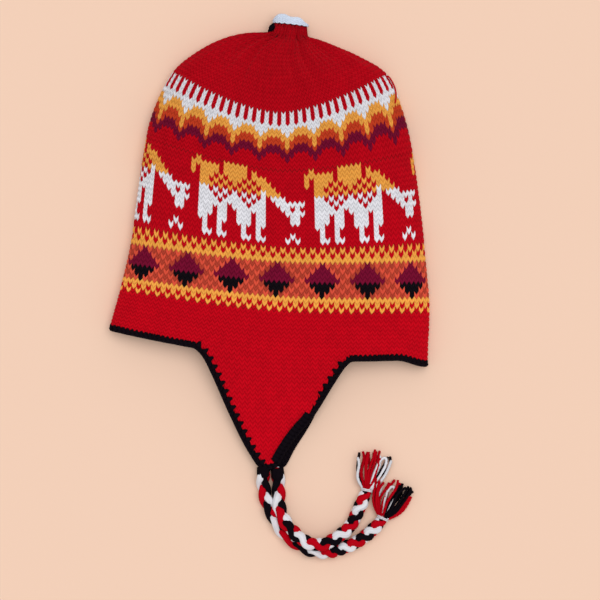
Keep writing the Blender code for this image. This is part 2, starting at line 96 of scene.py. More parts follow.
# One line of stitches from the left fold to the right fold. left and right are shares of
# BODY_HALF_WIDTH, the three downs are shares of BODY_LENGTH below the tip, height is a share of
# BODY_HEIGHT, and fold and lift (fold line and underside above the table) of FOLD_HEIGHT.
Section = namedtuple("Section", "row left left_down middle_down right right_down height fold lift")
SECTIONS = (
    Section(-4, 0.026, -0.026, -0.021, 0.237, -0.014, 0.43, 1.15, 0.46),
    Section(0, -0.006, 0.000, 0.010, 0.245, 0.013, 0.49, 1.15, 0.36),
    Section(3, -0.122, 0.001, 0.045, 0.318, 0.024, 0.57, 1.10, 0.15),
    Section(6, -0.268, 0.016, 0.084, 0.400, 0.039, 0.66, 1.05, 0.05),
    Section(12, -0.466, 0.066, 0.168, 0.577, 0.078, 0.87, 1.00, 0.0),
    Section(18, -0.600, 0.124, 0.255, 0.738, 0.131, 0.97, 1.00, 0.0),
    Section(28, -0.744, 0.275, 0.380, 0.868, 0.295, 1.00, 1.00, 0.0),
    Section(32, -0.768, 0.328, 0.433, 0.900, 0.373, 0.99, 1.00, 0.0),
    Section(48, -0.842, 0.578, 0.655, 0.970, 0.635, 0.895, 1.00, 0.0),
    Section(49, -0.847, 0.602, 0.669, 0.973, 0.656, 0.885, 1.00, 0.0),
    Section(62, -0.931, 0.797, 0.862, 1.007, 0.866, 0.73, 0.95, 0.0),
    Section(72, -0.994, 0.908, 0.996, 1.006, 0.996, 0.62, 0.92, 0.0),
)

# A flap's edges: down is a share of FLAP_LENGTH, left and right are shares of FLAP_HALF_WIDTH.
FlapLine = namedtuple("FlapLine", "down left right")
FRONT_FLAP = (
    FlapLine(0.00, -1.010, 1.020),
    FlapLine(0.06, -0.890, 0.920),
    FlapLine(0.21, -0.753, 0.773),
    FlapLine(0.48, -0.560, 0.533),
    FlapLine(0.58, -0.487, 0.430),
    FlapLine(0.69, -0.407, 0.290),
    FlapLine(0.83, -0.295, 0.145),
    FlapLine(1.00, -0.135, 0.000),
)
REAR_FLAP = (
    FlapLine(0.00, -0.950, 1.020),
    FlapLine(0.06, -0.840, 0.920),
    FlapLine(0.21, -0.700, 0.773),
    FlapLine(0.48, -0.500, 0.525),
    FlapLine(0.58, -0.410, 0.455),
    FlapLine(0.69, -0.290, 0.360),
    FlapLine(0.83, -0.130, 0.230),
    FlapLine(1.00, 0.000, 0.105),
)

# Braid routes, flap tip to tassel, in metres on the table, from the hat's drawn middle
BRAID_SHIFT = Vector((BODY_MIDDLE_X, TIP_Y - 0.1685, 0.0))
BRAID_FRONT_ROUTE = (
    (-0.0046, -0.1946, 0.0076), (-0.0045, -0.2021, 0.0060), (-0.0022, -0.2136, 0.0052),
    (0.0026, -0.2251, 0.0052), (0.0082, -0.2350, 0.0055), (0.0140, -0.2427, 0.0058),
    (0.0214, -0.2484, 0.0060), (0.0294, -0.2532, 0.0060), (0.0385, -0.2560, 0.0060),
    (0.0484, -0.2564, 0.0060), (0.0582, -0.2541, 0.0060), (0.0681, -0.2505, 0.0060),
    (0.0761, -0.2456, 0.0060), (0.0836, -0.2397, 0.0060), (0.0894, -0.2339, 0.0058),
    (0.0926, -0.2300, 0.0054),
)
BRAID_REAR_ROUTE = (
    (0.0074, -0.1952, 0.0050), (0.0079, -0.2030, 0.0050), (0.0080, -0.2120, 0.0058),
    (0.0088, -0.2210, 0.0080), (0.0123, -0.2300, 0.0108), (0.0181, -0.2376, 0.0128),
    (0.0240, -0.2434, 0.0134), (0.0306, -0.2480, 0.0134), (0.0390, -0.2503, 0.0134),
    (0.0463, -0.2494, 0.0130), (0.0533, -0.2459, 0.0116), (0.0590, -0.2422, 0.0096),
    (0.0648, -0.2372, 0.0076), (0.0691, -0.2312, 0.0066), (0.0734, -0.2222, 0.0062),
    (0.0767, -0.2144, 0.0060), (0.0797, -0.2070, 0.0054),
)
TASSEL_TURNS = {"front": 67.0, "rear": 78.0}

# Charts, a letter for each stitch
SCALLOP_CHART = (
    "WWOOOW",
    "WOOOOO",
    "OOUUUO",
    "OUUUUU",
    "OUPPPU",
    "UPPPPP",
    "PPRRRP",
    "PRRRRR",
)
GRAZER_CHART = (
    ".O.....OOOOO............",
    "OOOOOO.OOOOO.O..........",
    "O.OOOO.OOOOO.OOO........",
    "O.OOO.O.OOO.O.OOO.......",
    "..OO.O.O.O.O.O.OOO......",
    "..OOO.O.O.O.O.OWOOO.....",
    "..WW.W.W.W.W.W.W.WWW....",
    "..WWW.W.WWW.W.WW..WWWWWW",
    "..WWWW.WWWWW.WWW...WW.W.",
    "..WWWWWW.WWWWWWW....WWWW",
    "..WWW.WW..WWW.WW.....WW.",
    "..WWW.WW..WWW.WW.....WW.",
    "..WW..WW..WWW.WW........",
    "...W..W....W..W.........",
    "...W..W....W..W......W..",
    "...WW.WW...WW.WW....W.W.",
)
GRAZER_COLUMNS = (13, 37, 61, 88, 115)
DIAMOND_CHART = (
    "....X....",
    "...XXX...",
    "..XXXXX..",
    ".XXXXXXX.",
    "..XXXXX..",
    "...XXX...",
    "....X....",
)
DIAMOND_DARK_ROW = 4
TEETH_ROWS = range(18, 21)
WHITE_ROW = 21
SCALLOP_ROW = 22
SCALLOP_SHIFT = 3
GRAZER_ROW = 32
BORDER_ROW = 49
DIAMOND_ROW = 52
BORDER_END = 62

# The knit pieces: the rows that each one holds
Band = namedtuple("Band", "name first last")
BANDS = (
    Band("knit_crown", -4, 18),
    Band("knit_yoke", 18, 32),
    Band("knit_figures", 32, 49),
    Band("knit_border", 49, 62),
    Band("knit_rim_and_flaps", 62, BODY_ROWS + FLAP_ROWS),
)


def linear(red, green, blue):
    """A colour given in the usual 0 to 255 steps, as linear light."""
    shares = [value / 255 for value in (red, green, blue)]
    return tuple(s / 12.92 if s <= 0.04045 else ((s + 0.055) / 1.055) ** 2.4 for s in shares)


# Properties

def length_property(name, description, default):
    return FloatProperty(
        name=name, description=description, default=default, min=0.0, unit="LENGTH", precision=5
    )


def colour_property(name, description, default):
    return FloatVectorProperty(
        name=name, description=description, default=default, subtype="COLOR", size=3, min=0.0, max=1.0
    )


class HatYarnSettings(PropertyGroup):
    red: colour_property("Red", "Ground yarn of the body and flaps", linear(203, 2, 25))
    white: colour_property("White", "Cool white yarn of the teeth and figures", linear(248, 248, 255))
    pale_blue: colour_property("Pale blue", "Bluish white yarn of the topknot", linear(213, 224, 242))
    gold: colour_property("Gold", "Gold yarn of the scallops, figures and border lines", linear(255, 177, 78))
    rust: colour_property("Rust", "Rust yarn inside the scallops", linear(212, 68, 36))
    orange: colour_property("Orange", "Ground yarn of the diamond border", linear(219, 82, 60))
    purple: colour_property("Purple", "Dark yarn under the scallops", linear(124, 12, 50))
    black: colour_property("Black", "Black yarn of the edging and braids", linear(15, 9, 16))


class HatKnitSettings(PropertyGroup):
    stitch_height: length_property("Stitch height", "How far a front stitch stands out", 0.00125)
    back_height: length_property("Back stitch height", "How far a stitch underneath stands out", 0.0008)
    sunk: length_property("Groove depth", "How far the grooves lie under the solid's skin", 0.0009)
    thickness: length_property("Cloth thickness", "From the grooves to the inner side", 0.0021)
    gather_depth: length_property("Gather depth", "Height of the gathers at the neck", 0.0007)
    pleat_depth: length_property("Pleat depth", "Height of the fine ribs down the crown", 0.0004)
    fold_depth: length_property("Fold depth", "Height of the broad folds at the tip", 0.0013)
    wave_depth: length_property("Wave depth", "Soft unevenness of the top layer", 0.0007)
    crease_depth: length_property("Crease depth", "Depth of the crease between neck and crown", 0.0015)
    seed: IntProperty(name="Seed", description="Start of the random unevenness", default=7, min=0)


class HatEdgingSettings(PropertyGroup):
    stitch_length: length_property("Stitch length", "Length of one crochet stitch along the edge", 0.0037)
    yarn_radius: length_property("Yarn radius", "Radius of the edging yarn", 0.00115)
    reach: length_property("Reach", "From the cloth's edge out to the middle of the edging", 0.0018)
    core_half_width: length_property("Core half-width", "Half-width of the solid band", 0.0028)
    core_half_height: length_property("Core half-height", "Half-height of the solid band", 0.0016)
    small_tooth: length_property("Small tooth", "How far a rim stitch reaches past the band", 0.0003)
    large_tooth: length_property("Large tooth", "How far a long stitch reaches past the band", 0.0026)


class HatBraidSettings(PropertyGroup):
    side_swing: length_property("Side swing", "How far a strand swings from the middle", 0.00285)
    rise_swing: length_property("Rise swing", "How far a strand rises and dips as it crosses", 0.0024)
    strand_half_width: length_property("Strand half-width", "Half-width of one strand", 0.0029)
    strand_half_height: length_property("Strand half-height", "Half-height of one strand", 0.0022)
    root_length: length_property("Root length", "Length of braid worked into the flap's tip", 0.0080)


class HatTasselSettings(PropertyGroup):
    yarn_radius: length_property("Yarn radius", "Radius of one loose yarn end", 0.0011)
    yarn_length: length_property("Yarn length", "Length of the loose yarn ends", 0.0325)
    curl: length_property("Curl", "How far a yarn end strays from a straight line", 0.0030)
    foot_width: length_property("Foot width", "Half-width of the tassel where it leaves its tie", 0.0036)
    winding_radius: length_property("Winding radius", "Radius of the yarn wound round the braid", 0.00042)
    seed: IntProperty(name="Seed", description="Start of the random spread", default=21, min=0)


class HatStageSettings(PropertyGroup):
    camera_height: length_property("Camera height", "Height of the camera above the table", 3.0)
    view_width: length_property("View width", "Width of table that the picture shows", 0.492)
    floor_colour: colour_property("Floor colour", "Colour of the table", linear(247, 212, 189))
    key_strength: FloatProperty(
        name="Key strength", description="Strength of the main soft light", default=1.30, min=0.0
    )
    key_spread: FloatProperty(
        name="Key spread", description="Width of the main light, as an angle", default=0.9, min=0.0,
        subtype="ANGLE",
    )
    ambient: FloatProperty(
        name="Ambient", description="Strength of the light from all round", default=0.572, min=0.0
    )


# Curves and tables

def smooth_at(places, values, at):
    """Values read between given places on a smooth curve that never overshoots them."""
    places, values, at = (np.asarray(numbers, float) for numbers in (places, values, at))
    steps = np.diff(values) / np.diff(places)
    slopes = np.zeros(len(places))
    before, after = steps[:-1], steps[1:]
    same_way = before * after > 0
    slopes[1:-1][same_way] = (2 * before * after)[same_way] / (before + after)[same_way]
    slopes[0], slopes[-1] = steps[0], steps[-1]
    index = np.clip(np.searchsorted(places, at, side="right") - 1, 0, len(places) - 2)
    span = places[index + 1] - places[index]
    whole = (at - places[index]) / span
    t = np.clip(whole, 0, 1)
    start, end = values[index], values[index + 1]
    first, last = slopes[index], slopes[index + 1]
    inside = (
        start * (1 + 2 * t) * (1 - t) ** 2
        + first * span * t * (1 - t) ** 2
        + end * t * t * (3 - 2 * t)
        + last * span * t * t * (t - 1)
    )
    return inside + (whole - t) * span * np.where(whole < 0, first, last)


def lengths_along(points):
    """How far along the polyline each of its points lies."""
    return np.concatenate([[0], np.cumsum(np.linalg.norm(np.diff(points, axis=0), axis=1))])


def spread_evenly(points, count):
    """The polyline read at count + 1 points that are equally far apart along it."""
    lengths = lengths_along(points)
    wanted = np.linspace(0, lengths[-1], count + 1)
    return np.stack([np.interp(wanted, lengths, points[:, axis]) for axis in range(3)], axis=1)


def smooth_route(points, spacing):
    """A route's chosen points joined by one smooth curve and read at about equal spacing."""
    points = np.asarray(points, float)
    ahead = np.concatenate([points[:1], points, points[-1:]])
    fine = []
    for k in range(len(points) - 1):
        a, b, c, d = ahead[k : k + 4]
        bend, twist = 2 * a - 5 * b + 4 * c - d, 3 * b - a - 3 * c + d
        for t in np.linspace(0, 1, 12, endpoint=False):
            fine.append(b + ((c - a) * t + bend * t**2 + twist * t**3) / 2)
    fine = np.array([*fine, points[-1]])
    length = np.linalg.norm(np.diff(fine, axis=0), axis=1).sum()
    return spread_evenly(fine, max(2, round(length / spacing)))


def unit(vectors):
    return vectors / np.maximum(np.linalg.norm(vectors, axis=-1, keepdims=True), 1e-12)


def ease(low, high, value):
    """0 at low and below, 1 at high and above, with a smooth rise between."""
    t = np.clip((value - low) / (high - low), 0, 1)
    return t * t * (3 - 2 * t)


class Cloth:
    """A surface read from a table of points: rows down the cloth, columns round it and back to the first."""

    def __init__(self, points, first_row, columns_apart):
        self.points = points
        self.first_row = first_row
        self.columns_apart = columns_apart
        down = np.gradient(points, axis=0)
        ringed = np.concatenate([points[:, -2:-1], points, points[:, 1:2]], axis=1)
        across = ringed[:, 2:] - ringed[:, :-2]
        self.normals = unit(np.cross(down, across))

    def read(self, table, row, column):
        across = np.mod(column / self.columns_apart, table.shape[1] - 1)
        down = np.clip((row - self.first_row) / TABLE_STEP, 0, table.shape[0] - 1.0001)
        r, c = down.astype(int), across.astype(int)
        fr, fc = (down - r)[:, None], (across - c)[:, None]
        upper = table[r, c] * (1 - fc) + table[r, c + 1] * fc
        lower = table[r + 1, c] * (1 - fc) + table[r + 1, c + 1] * fc
        return upper * (1 - fr) + lower * fr

    def place(self, row, column, height):
        """Points at those rows and columns, raised off the cloth by height."""
        normal = unit(self.read(self.normals, row, column))
        return self.read(self.points, row, column) + normal * np.asarray(height)[:, None]

    def raised(self, height):
        """The same cloth with a height added at every table point."""
        return Cloth(self.points + self.normals * height[..., None], self.first_row, self.columns_apart)


def body_ring(row):
    """One knit row at every table column: over the top from the left fold, then back under."""
    rows = [section.row for section in SECTIONS]
    section = Section(*(float(smooth_at(rows, column, row)) for column in zip(*SECTIONS)))
    left, right = section.left * BODY_HALF_WIDTH, section.right * BODY_HALF_WIDTH
    middle, half = BODY_MIDDLE_X + (left + right) / 2, (right - left) / 2
    left_y, middle_y, right_y = (
        TIP_Y - down * BODY_LENGTH for down in (section.left_down, section.middle_down, section.right_down)
    )
    fold, lift = section.fold * FOLD_HEIGHT, section.lift * FOLD_HEIGHT
    crest = section.height * BODY_HEIGHT
    share = -np.cos(np.linspace(0, math.pi, FINE_STEPS + 1))
    x = middle + half * share
    bow = ((right_y + left_y) / 2 - middle_y) * np.abs(share) ** ROW_BOW
    y = middle_y + (right_y - left_y) / 2 * share + bow
    corner_pull = CORNER_DROP * ease(0.80, 1.0, share) * ease(BORDER_END - 1, BODY_ROWS, row)
    x -= 0.2 * corner_pull
    y -= corner_pull
    dome = np.sqrt(np.clip(1 - np.abs(share) ** DOME_POWER, 0, 1))
    corner = np.clip((np.abs(share) - (1 - FOLD_CORNER)) / FOLD_CORNER, 0, 1)
    floor = fold - (fold - lift) * np.sqrt(1 - corner**2)
    top = np.stack([x, y, fold + (crest - fold) * dome], axis=1)
    bottom = np.stack([x, y, floor], axis=1)
    steps = FRONT_COLUMNS * STITCH_STEPS
    return np.concatenate([spread_evenly(top, steps)[:-1], spread_evenly(bottom, steps)[::-1]])


def hat_cloth(knit):
    """The whole knit surface, tip to flap ends, with its gathers and soft waves."""
    first_row = BANDS[0].first - 1.0
    body_rows = np.arange(first_row, BODY_ROWS + TABLE_STEP / 2, TABLE_STEP)
    body = np.stack([body_ring(row) for row in body_rows])
    rim = body[-1]
    is_front = np.arange(len(rim)) < FRONT_COLUMNS * STITCH_STEPS
    in_flap = np.abs(rim[:, 0] - FLAP_MIDDLE) < FLAP_HALF_WIDTH
    tip_y = rim[in_flap, 1].min() - FLAP_LENGTH
    flap = []
    for row in np.arange(TABLE_STEP, FLAP_ROWS + 1.5, TABLE_STEP):
        down = row / FLAP_ROWS
        line = rim.copy()
        line[:, 1] += (tip_y - rim[:, 1]) * down
        left = max(0.0, 1 - down) ** FLAP_DROOP
        front_height = FLAP_TIP_HEIGHT + (rim[:, 2] - FLAP_TIP_HEIGHT) * left
        line[:, 2] = np.where(is_front, front_height, rim[:, 2] * left)
        flap.append(line)
    cloth = Cloth(np.concatenate([body, flap]), first_row, 1 / STITCH_STEPS)
    rows = first_row + np.arange(len(cloth.points))[:, None] * TABLE_STEP
    columns = np.arange(len(rim))[None, :] / STITCH_STEPS
    facing_up = ease(0.1, 0.6, cloth.normals[..., 2])
    gather_fade = ease(8, 0, rows)
    pleat_fade = ease(19, 9, rows) * ease(-1, 6, rows) * facing_up
    fold_fade = ease(22, 6, rows) * ease(-3, 5, rows) * facing_up
    wander = 0.8 * np.sin(columns * 0.9 + 1.0) + 0.25 * np.sin(rows * 0.45)
    gathers = np.cos(2 * math.pi * columns / 5.25 + wander)
    pleats = np.cos(math.pi * columns + 0.5 * wander)
    folds = np.cos(2 * math.pi * columns / 8.2 + 1.3 * np.sin(columns * 0.31) + 0.7)
    x, y = cloth.points[..., 0], cloth.points[..., 1]
    waves = np.sin(x * 38 + 1.1 * np.sin(y * 27)) * np.cos(y * 31 + 0.8) + 0.6 * np.sin(x * 71 + y * 43)
    wave_fade = facing_up * ease(2, 12, rows) * ease(BODY_ROWS + FLAP_ROWS, BODY_ROWS + 4, rows)
    height = knit.gather_depth * gathers * gather_fade + knit.pleat_depth * pleats * pleat_fade
    height += knit.fold_depth * (folds - 0.4) * fold_fade + knit.wave_depth * waves * wave_fade
    height -= knit.crease_depth * np.exp(-((rows - 0.4) ** 2)) * facing_up
    return cloth.raised(height)


def flap_sides(down, is_front):
    """x of a flap's left and right edges at shares of its length."""
    table = FRONT_FLAP if is_front else REAR_FLAP
    places = [line.down for line in table]
    left = smooth_at(places, [line.left for line in table], down)
    right = smooth_at(places, [line.right for line in table], down)
    return left * FLAP_HALF_WIDTH + FLAP_MIDDLE, right * FLAP_HALF_WIDTH + FLAP_MIDDLE


def squeeze_flaps(points, row, column):
    """Narrows the outermost stitches of each flap, so that its straight columns end on its edge."""
    soft = 0.0014
    down = (row - BODY_ROWS) / FLAP_ROWS
    weight = ease(0.4, 1.2, row - BODY_ROWS)
    x = points[:, 0]
    for is_front in (True, False):
        left, right = flap_sides(down, is_front)
        here = (column < FRONT_COLUMNS) == is_front
        low = left + soft * np.exp(np.minimum((x - left) / soft - 1, 0))
        high = right - soft * np.exp(np.minimum((right - x) / soft - 1, 0))
        narrowed = np.where(x < left + soft, low, np.where(x > right - soft, high, x))
        x = np.where(here, x + (narrowed - x) * weight, x)
    points[:, 0] = x
    return points


# Yarn meshes

class YarnMesh:
    """Collects yarn surfaces, each face with a colour and a place on the yarn, into one object."""

    def __init__(self):
        self.points, self.faces, self.count = [], [], 0

    def add_points(self, points):
        self.points.append(points)
        self.count += len(points)
        return self.count - len(points)

    def add_faces(self, corners, colours, places):
        """corners is (faces, sides), colours (faces, 3) and places on the yarn (faces, sides, 2)."""
        self.faces.append((corners, colours, places))

    def add_tubes(
        self, paths, radii, above, colours, sides, flat=1.0, twist_length=0.0035, plies=2, ridge=0.0
    ):
        """Closed round tubes. paths is (tubes, points, 3), radii (tubes, points), above the way up."""
        tubes, steps = radii.shape
        forward = unit(np.gradient(paths, axis=1))
        side = unit(np.cross(forward, above))
        lift = np.cross(side, forward)
        lengths = np.cumsum(np.linalg.norm(np.diff(paths, axis=1, prepend=paths[:, :1]), axis=2), axis=1)
        turn = 2 * math.pi * np.arange(sides) / sides
        spin = plies * turn[None, None, :] + 2 * math.pi * lengths[..., None] / twist_length
        reach = radii[..., None] * (1 + ridge * (np.abs(np.cos(spin / 2)) - 0.6))
        cosine, sine = np.cos(turn)[None, None, :, None], np.sin(turn)[None, None, :, None]
        ring = reach[..., None] * (cosine * side[:, :, None] + flat * sine * lift[:, :, None])
        points = paths[:, :, None] + ring
        ends = paths[:, [0, -1]]
        start = self.add_points(np.concatenate([points.reshape(-1, 3), ends.reshape(-1, 3)]))
        base = start + (np.arange(tubes)[:, None, None] * steps + np.arange(steps - 1)[None, :, None]) * sides
        k = np.arange(sides)[None, None, :]
        after = (k + 1) % sides
        quads = np.stack([base + k, base + after, base + sides + after, base + sides + k], axis=-1)
        along = lengths / twist_length
        u0 = np.broadcast_to(along[:, :-1, None], quads.shape[:3])
        u1 = np.broadcast_to(along[:, 1:, None], quads.shape[:3])
        v0 = np.broadcast_to(k / sides * plies, quads.shape[:3])
        v1 = np.broadcast_to((k + 1) / sides * plies, quads.shape[:3])
        places = np.stack([u0, v0, u0, v1, u1, v1, u1, v0], axis=-1).reshape(-1, 4, 2)
        shown = np.broadcast_to(colours[:, None, None, :], (*quads.shape[:3], 3))
        self.add_faces(quads.reshape(-1, 4), shown.reshape(-1, 3), places)
        first = start + np.arange(tubes)[:, None] * steps * sides
        middle = start + tubes * steps * sides + 2 * np.arange(tubes)[:, None]
        last = first + (steps - 1) * sides
        k, after = k[0], after[0]
        for cap in ((middle, first + after, first + k), (middle + 1, last + k, last + after)):
            corners = np.stack(np.broadcast_arrays(*cap), axis=-1).reshape(-1, 3)
            self.add_faces(corners, np.repeat(colours, sides, axis=0), np.zeros((*corners.shape, 2)))

    def add_tube(self, path, radii, above, colour, sides, **look):
        """One closed round tube. radii and above are given once or for each point of the path."""
        radii, above = np.broadcast_to(radii, len(path)), np.broadcast_to(above, path.shape)
        self.add_tubes(path[None], radii[None], above[None], np.array([colour]), sides, **look)

    def finish(self, name, material, slot, *nodes):
        """Makes the object, gives it its material and seats it in the frame in place of the nodes."""
        mesh = bpy.data.meshes.new(name)
        points = np.concatenate(self.points)
        sides = np.concatenate([np.full(len(f[0]), f[0].shape[1]) for f in self.faces])
        corners = np.concatenate([f[0].reshape(-1) for f in self.faces])
        mesh.vertices.add(len(points))
        mesh.vertices.foreach_set("co", points.astype(np.float32).reshape(-1))
        mesh.loops.add(len(corners))
        mesh.loops.foreach_set("vertex_index", corners.astype(np.int32))
        mesh.polygons.add(len(sides))
        mesh.polygons.foreach_set("loop_start", (np.cumsum(sides) - sides).astype(np.int32))
        mesh.update(calc_edges=True)
        shown = np.concatenate([np.repeat(f[1], f[0].shape[1], axis=0) for f in self.faces])
        colour = mesh.attributes.new("yarn_colour", "FLOAT_COLOR", "CORNER")
        colour.data.foreach_set("color", np.c_[shown, np.ones(len(shown))].astype(np.float32).reshape(-1))
        places = np.concatenate([f[2].reshape(-1, 2) for f in self.faces])
        mesh.uv_layers.new(name="yarn").data.foreach_set("uv", places.astype(np.float32).reshape(-1))
        mesh.shade_smooth()
        mesh.materials.append(material)
        obj = bpy.data.objects.new(name, mesh)
        bpy.context.scene.collection.objects.link(obj)
        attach(obj, "root")
        if nodes:
            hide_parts(*nodes)
        return obj


def lattice_size(cells):
    """How many points the cells' lattice has once round, and in all."""
    count = cells.shape[1] * STITCH_STEPS
    return count, (cells.shape[0] * STEPS_ACROSS + 1) * count


def stitch_faces(cells, colours, alongs):
    """The V stitches' outer faces, each with its colour and its place on the yarn."""
    rows, columns = np.nonzero(cells)
    count, _ = lattice_size(cells)
    faces = []
    for half in (0, 1):
        for steps in sorted(set(alongs)):
            pick = alongs[columns] == steps
            r, c = rows[pick], columns[pick]
            stride = FINE_ALONG // steps
            for b in range(steps):
                c0 = (c * STITCH_STEPS + half * FINE_ALONG + b * stride) % count
                c1 = (c0 + stride) % count
                for a in range(STEPS_ACROSS):
                    r0 = (r * STEPS_ACROSS + a) * count
                    r1 = r0 + count
                    u0, u1 = b / steps, (b + 1) / steps
                    if half:
                        u0, u1 = 1 - u0, 1 - u1
                    v0, v1 = a / STEPS_ACROSS, (a + 1) / STEPS_ACROSS
                    place = np.array([[u0, v0], [u0, v1], [u1, v1], [u1, v0]])
                    quads = np.stack([r0 + c0, r1 + c0, r1 + c1, r0 + c1], axis=1)
                    faces.append((quads, colours[r, c], np.broadcast_to(place, (len(r), 4, 2))))
    return faces


def inner_faces(cells, colours, alongs):
    """The plain inner side, and the walls that join it to the stitches along every free edge."""
    rows, columns = np.nonzero(cells)
    count, lattice = lattice_size(cells)
    corners, owners = [], []
    for half in (0, 1):
        c0 = columns * STITCH_STEPS + half * FINE_ALONG
        c1 = (c0 + FINE_ALONG) % count
        r0 = rows * STEPS_ACROSS * count
        r1 = r0 + STEPS_ACROSS * count
        corners.append(np.stack([r0 + c0, r1 + c0, r1 + c1, r0 + c1], axis=1))
        owners.append(np.stack([rows, columns], axis=1))
    corners, owners = np.concatenate(corners), np.concatenate(owners)
    own_colour = colours[owners[:, 0], owners[:, 1]]
    faces = [(corners[:, ::-1] + lattice, own_colour, np.zeros((len(corners), 4, 2)))]
    # A free edge is a cell's side that no other cell shares.
    starts, ends = corners.reshape(-1), np.roll(corners, -1, axis=1).reshape(-1)
    key = np.minimum(starts, ends) * lattice + np.maximum(starts, ends)
    _, index, times = np.unique(key, return_index=True, return_counts=True)
    edge = index[times == 1]
    a, b, owner = starts[edge], ends[edge], edge // 4
    ra, ca, rb, cb = a // count, a % count, b // count, b % count
    over = (ca - cb + count // 2) % count - count // 2
    parts = np.where(over == 0, STEPS_ACROSS, alongs[owners[owner, 1]])
    for steps in sorted(set(parts)):
        pick = parts == steps
        share = np.arange(steps + 1) / steps
        r = rb[pick, None] + (ra - rb)[pick, None] * share
        c = (cb[pick, None] + over[pick, None] * share) % count
        chain = np.rint(r).astype(int) * count + np.rint(c).astype(int)
        walls = np.concatenate([chain, a[pick, None] + lattice, b[pick, None] + lattice], axis=1)
        faces.append((walls, own_colour[owner[pick]], np.zeros((*walls.shape, 2))))
    return faces


def knit_cells(yarn, cloth, cells, first_row, colours, alongs, heights, sunk, thickness, squeeze=None):
    """Knits the cells of a lattice as one closed cloth of V stitches with a plain inner side.

    cells is (rows, columns), colours the same with three values more, alongs the steps along a
    leg in each column, and heights each stitch's own height."""
    count, lattice = lattice_size(cells)
    faces = stitch_faces(cells, colours, alongs) + inner_faces(cells, colours, alongs)
    used = np.unique(np.concatenate([f[0].reshape(-1) for f in faces]))
    is_inner = used >= lattice
    r, c = (used % lattice) // count, (used % lattice) % count
    column = c / STITCH_STEPS
    across = (r % STEPS_ACROSS) / STEPS_ACROSS
    along = (c % FINE_ALONG) / FINE_ALONG
    lean = 1 - np.abs(2 * (column % 1) - 1)
    row = first_row + r / STEPS_ACROSS + SLANT * (lean - 0.5)
    # A leg is round across and lowest at its two ends.
    end_height = 0.45
    round_across = np.sqrt(np.maximum(0, 1 - (2 * across - 1) ** 2))
    swell = end_height + (1 - end_height) * np.sin(math.pi * along) ** 0.8
    round_along = np.where(c % FINE_ALONG == 0, end_height, swell)
    stitch_row = np.minimum(r // STEPS_ACROSS, cells.shape[0] - 1)
    height = heights[stitch_row, np.minimum(column.astype(int), cells.shape[1] - 1)]
    height = np.where(is_inner, -thickness, height * round_across * round_along) - sunk
    points = cloth.place(row, column, height)
    if squeeze:
        points = squeeze(points, row, column)
    start = yarn.add_points(points)
    for corners, shown, places in faces:
        yarn.add_faces(start + np.searchsorted(used, corners), shown, places)


# Shaders

class Shade:
    """A shader socket that takes part in arithmetic, each operation as a Math node of its own."""

    def __init__(self, tree, socket=None):
        self.tree, self.socket = tree, socket

    def node(self, kind, settings=None, inputs=None, output=0):
        """Adds any node: settings first, then values or links by socket name, identifier or number."""
        node = self.tree.nodes.new(kind)
        for name, value in (settings or {}).items():
            setattr(node, name, value)
        for key, value in (inputs or {}).items():
            if isinstance(key, int):
                socket = node.inputs[key]
            else:
                socket = next(s for s in node.inputs if key in (s.identifier, s.name))
            if isinstance(value, Shade):
                self.tree.links.new(value.socket, socket)
            else:
                socket.default_value = value
        if isinstance(output, int):
            return Shade(self.tree, node.outputs[output])
        return Shade(self.tree, next(s for s in node.outputs if output in (s.identifier, s.name)))

    def maths(self, operation, *values):
        return self.node("ShaderNodeMath", {"operation": operation}, dict(enumerate(values)))

    def __add__(self, other):
        return self.maths("ADD", self, other)

    def __mul__(self, other):
        return self.maths("MULTIPLY", self, other)

    __radd__ = __add__


def yarn_material(name, groove, darker_tip=0.0, sheen=0.04):
    """Twisted yarn: ply ridges and loose fibres in relief, and a colour that varies along and across, with
    painted shade at the edges of each yarn and, where asked, towards the tip.
    """
    material = bpy.data.materials.new(name)
    material.use_nodes = True
    tree = material.node_tree
    shader = tree.nodes["Principled BSDF"]
    start = Shade(tree)
    place = start.node("ShaderNodeTexCoord", output="Object")
    uv = start.node("ShaderNodeUVMap", {"uv_map": "yarn"})
    along = start.node("ShaderNodeSeparateXYZ", inputs={"Vector": uv})
    across = Shade(tree, along.socket.node.outputs[1])
    ply = start.maths("ABSOLUTE", start.maths("SINE", (along * 2.0 + across) * math.pi))
    fibre = start.node(
        "ShaderNodeTexNoise", inputs={"Vector": place, "Scale": 1900.0, "Detail": 3.0, "Roughness": 0.6}
    )
    patch = start.node(
        "ShaderNodeTexNoise", inputs={"Vector": place, "Scale": 42.0, "Detail": 4.0, "Roughness": 0.62}
    )
    tone = 0.885 + patch * 0.22 + fibre * 0.10 + ply * 0.06
    # Painted shade in the grooves: each yarn's colour darkens towards both edges of its leg.
    edge = start.maths("SINE", start.maths("FRACT", across) * math.pi)
    tone = tone * ((1.0 - groove) + start.maths("ABSOLUTE", edge) * groove)
    # Partly painted shade and partly the tighter gathered knit: the colour darkens smoothly from the body's
    # low end up to the tip.
    if darker_tip:
        y = Shade(tree, start.node("ShaderNodeSeparateXYZ", inputs={"Vector": place}).socket.node.outputs[1])
        rise = start.node(
            "ShaderNodeMapRange",
            {"interpolation_type": "SMOOTHSTEP"},
            {
                "Value": y, "From Min": SHELL_LOW.y, "From Max": TIP_Y,
                "To Min": 1.0, "To Max": 1.0 - darker_tip,
            },
        )
        tone = tone * rise
    base = start.node("ShaderNodeAttribute", {"attribute_name": "yarn_colour"})
    coloured = start.node("ShaderNodeVectorMath", {"operation": "SCALE"}, {0: base, "Scale": tone})
    relief = ply * 0.55 + fibre * 0.5
    bump = start.node("ShaderNodeBump", inputs={"Strength": 0.6, "Distance": 0.00035, "Height": relief})
    tree.links.new(coloured.socket, shader.inputs["Base Color"])
    tree.links.new(bump.socket, shader.inputs["Normal"])
    shader.inputs["Roughness"].default_value = 0.88
    shader.inputs["Specular IOR Level"].default_value = 0.05
    shader.inputs["Sheen Weight"].default_value = sheen
    shader.inputs["Sheen Roughness"].default_value = 0.5
    return material


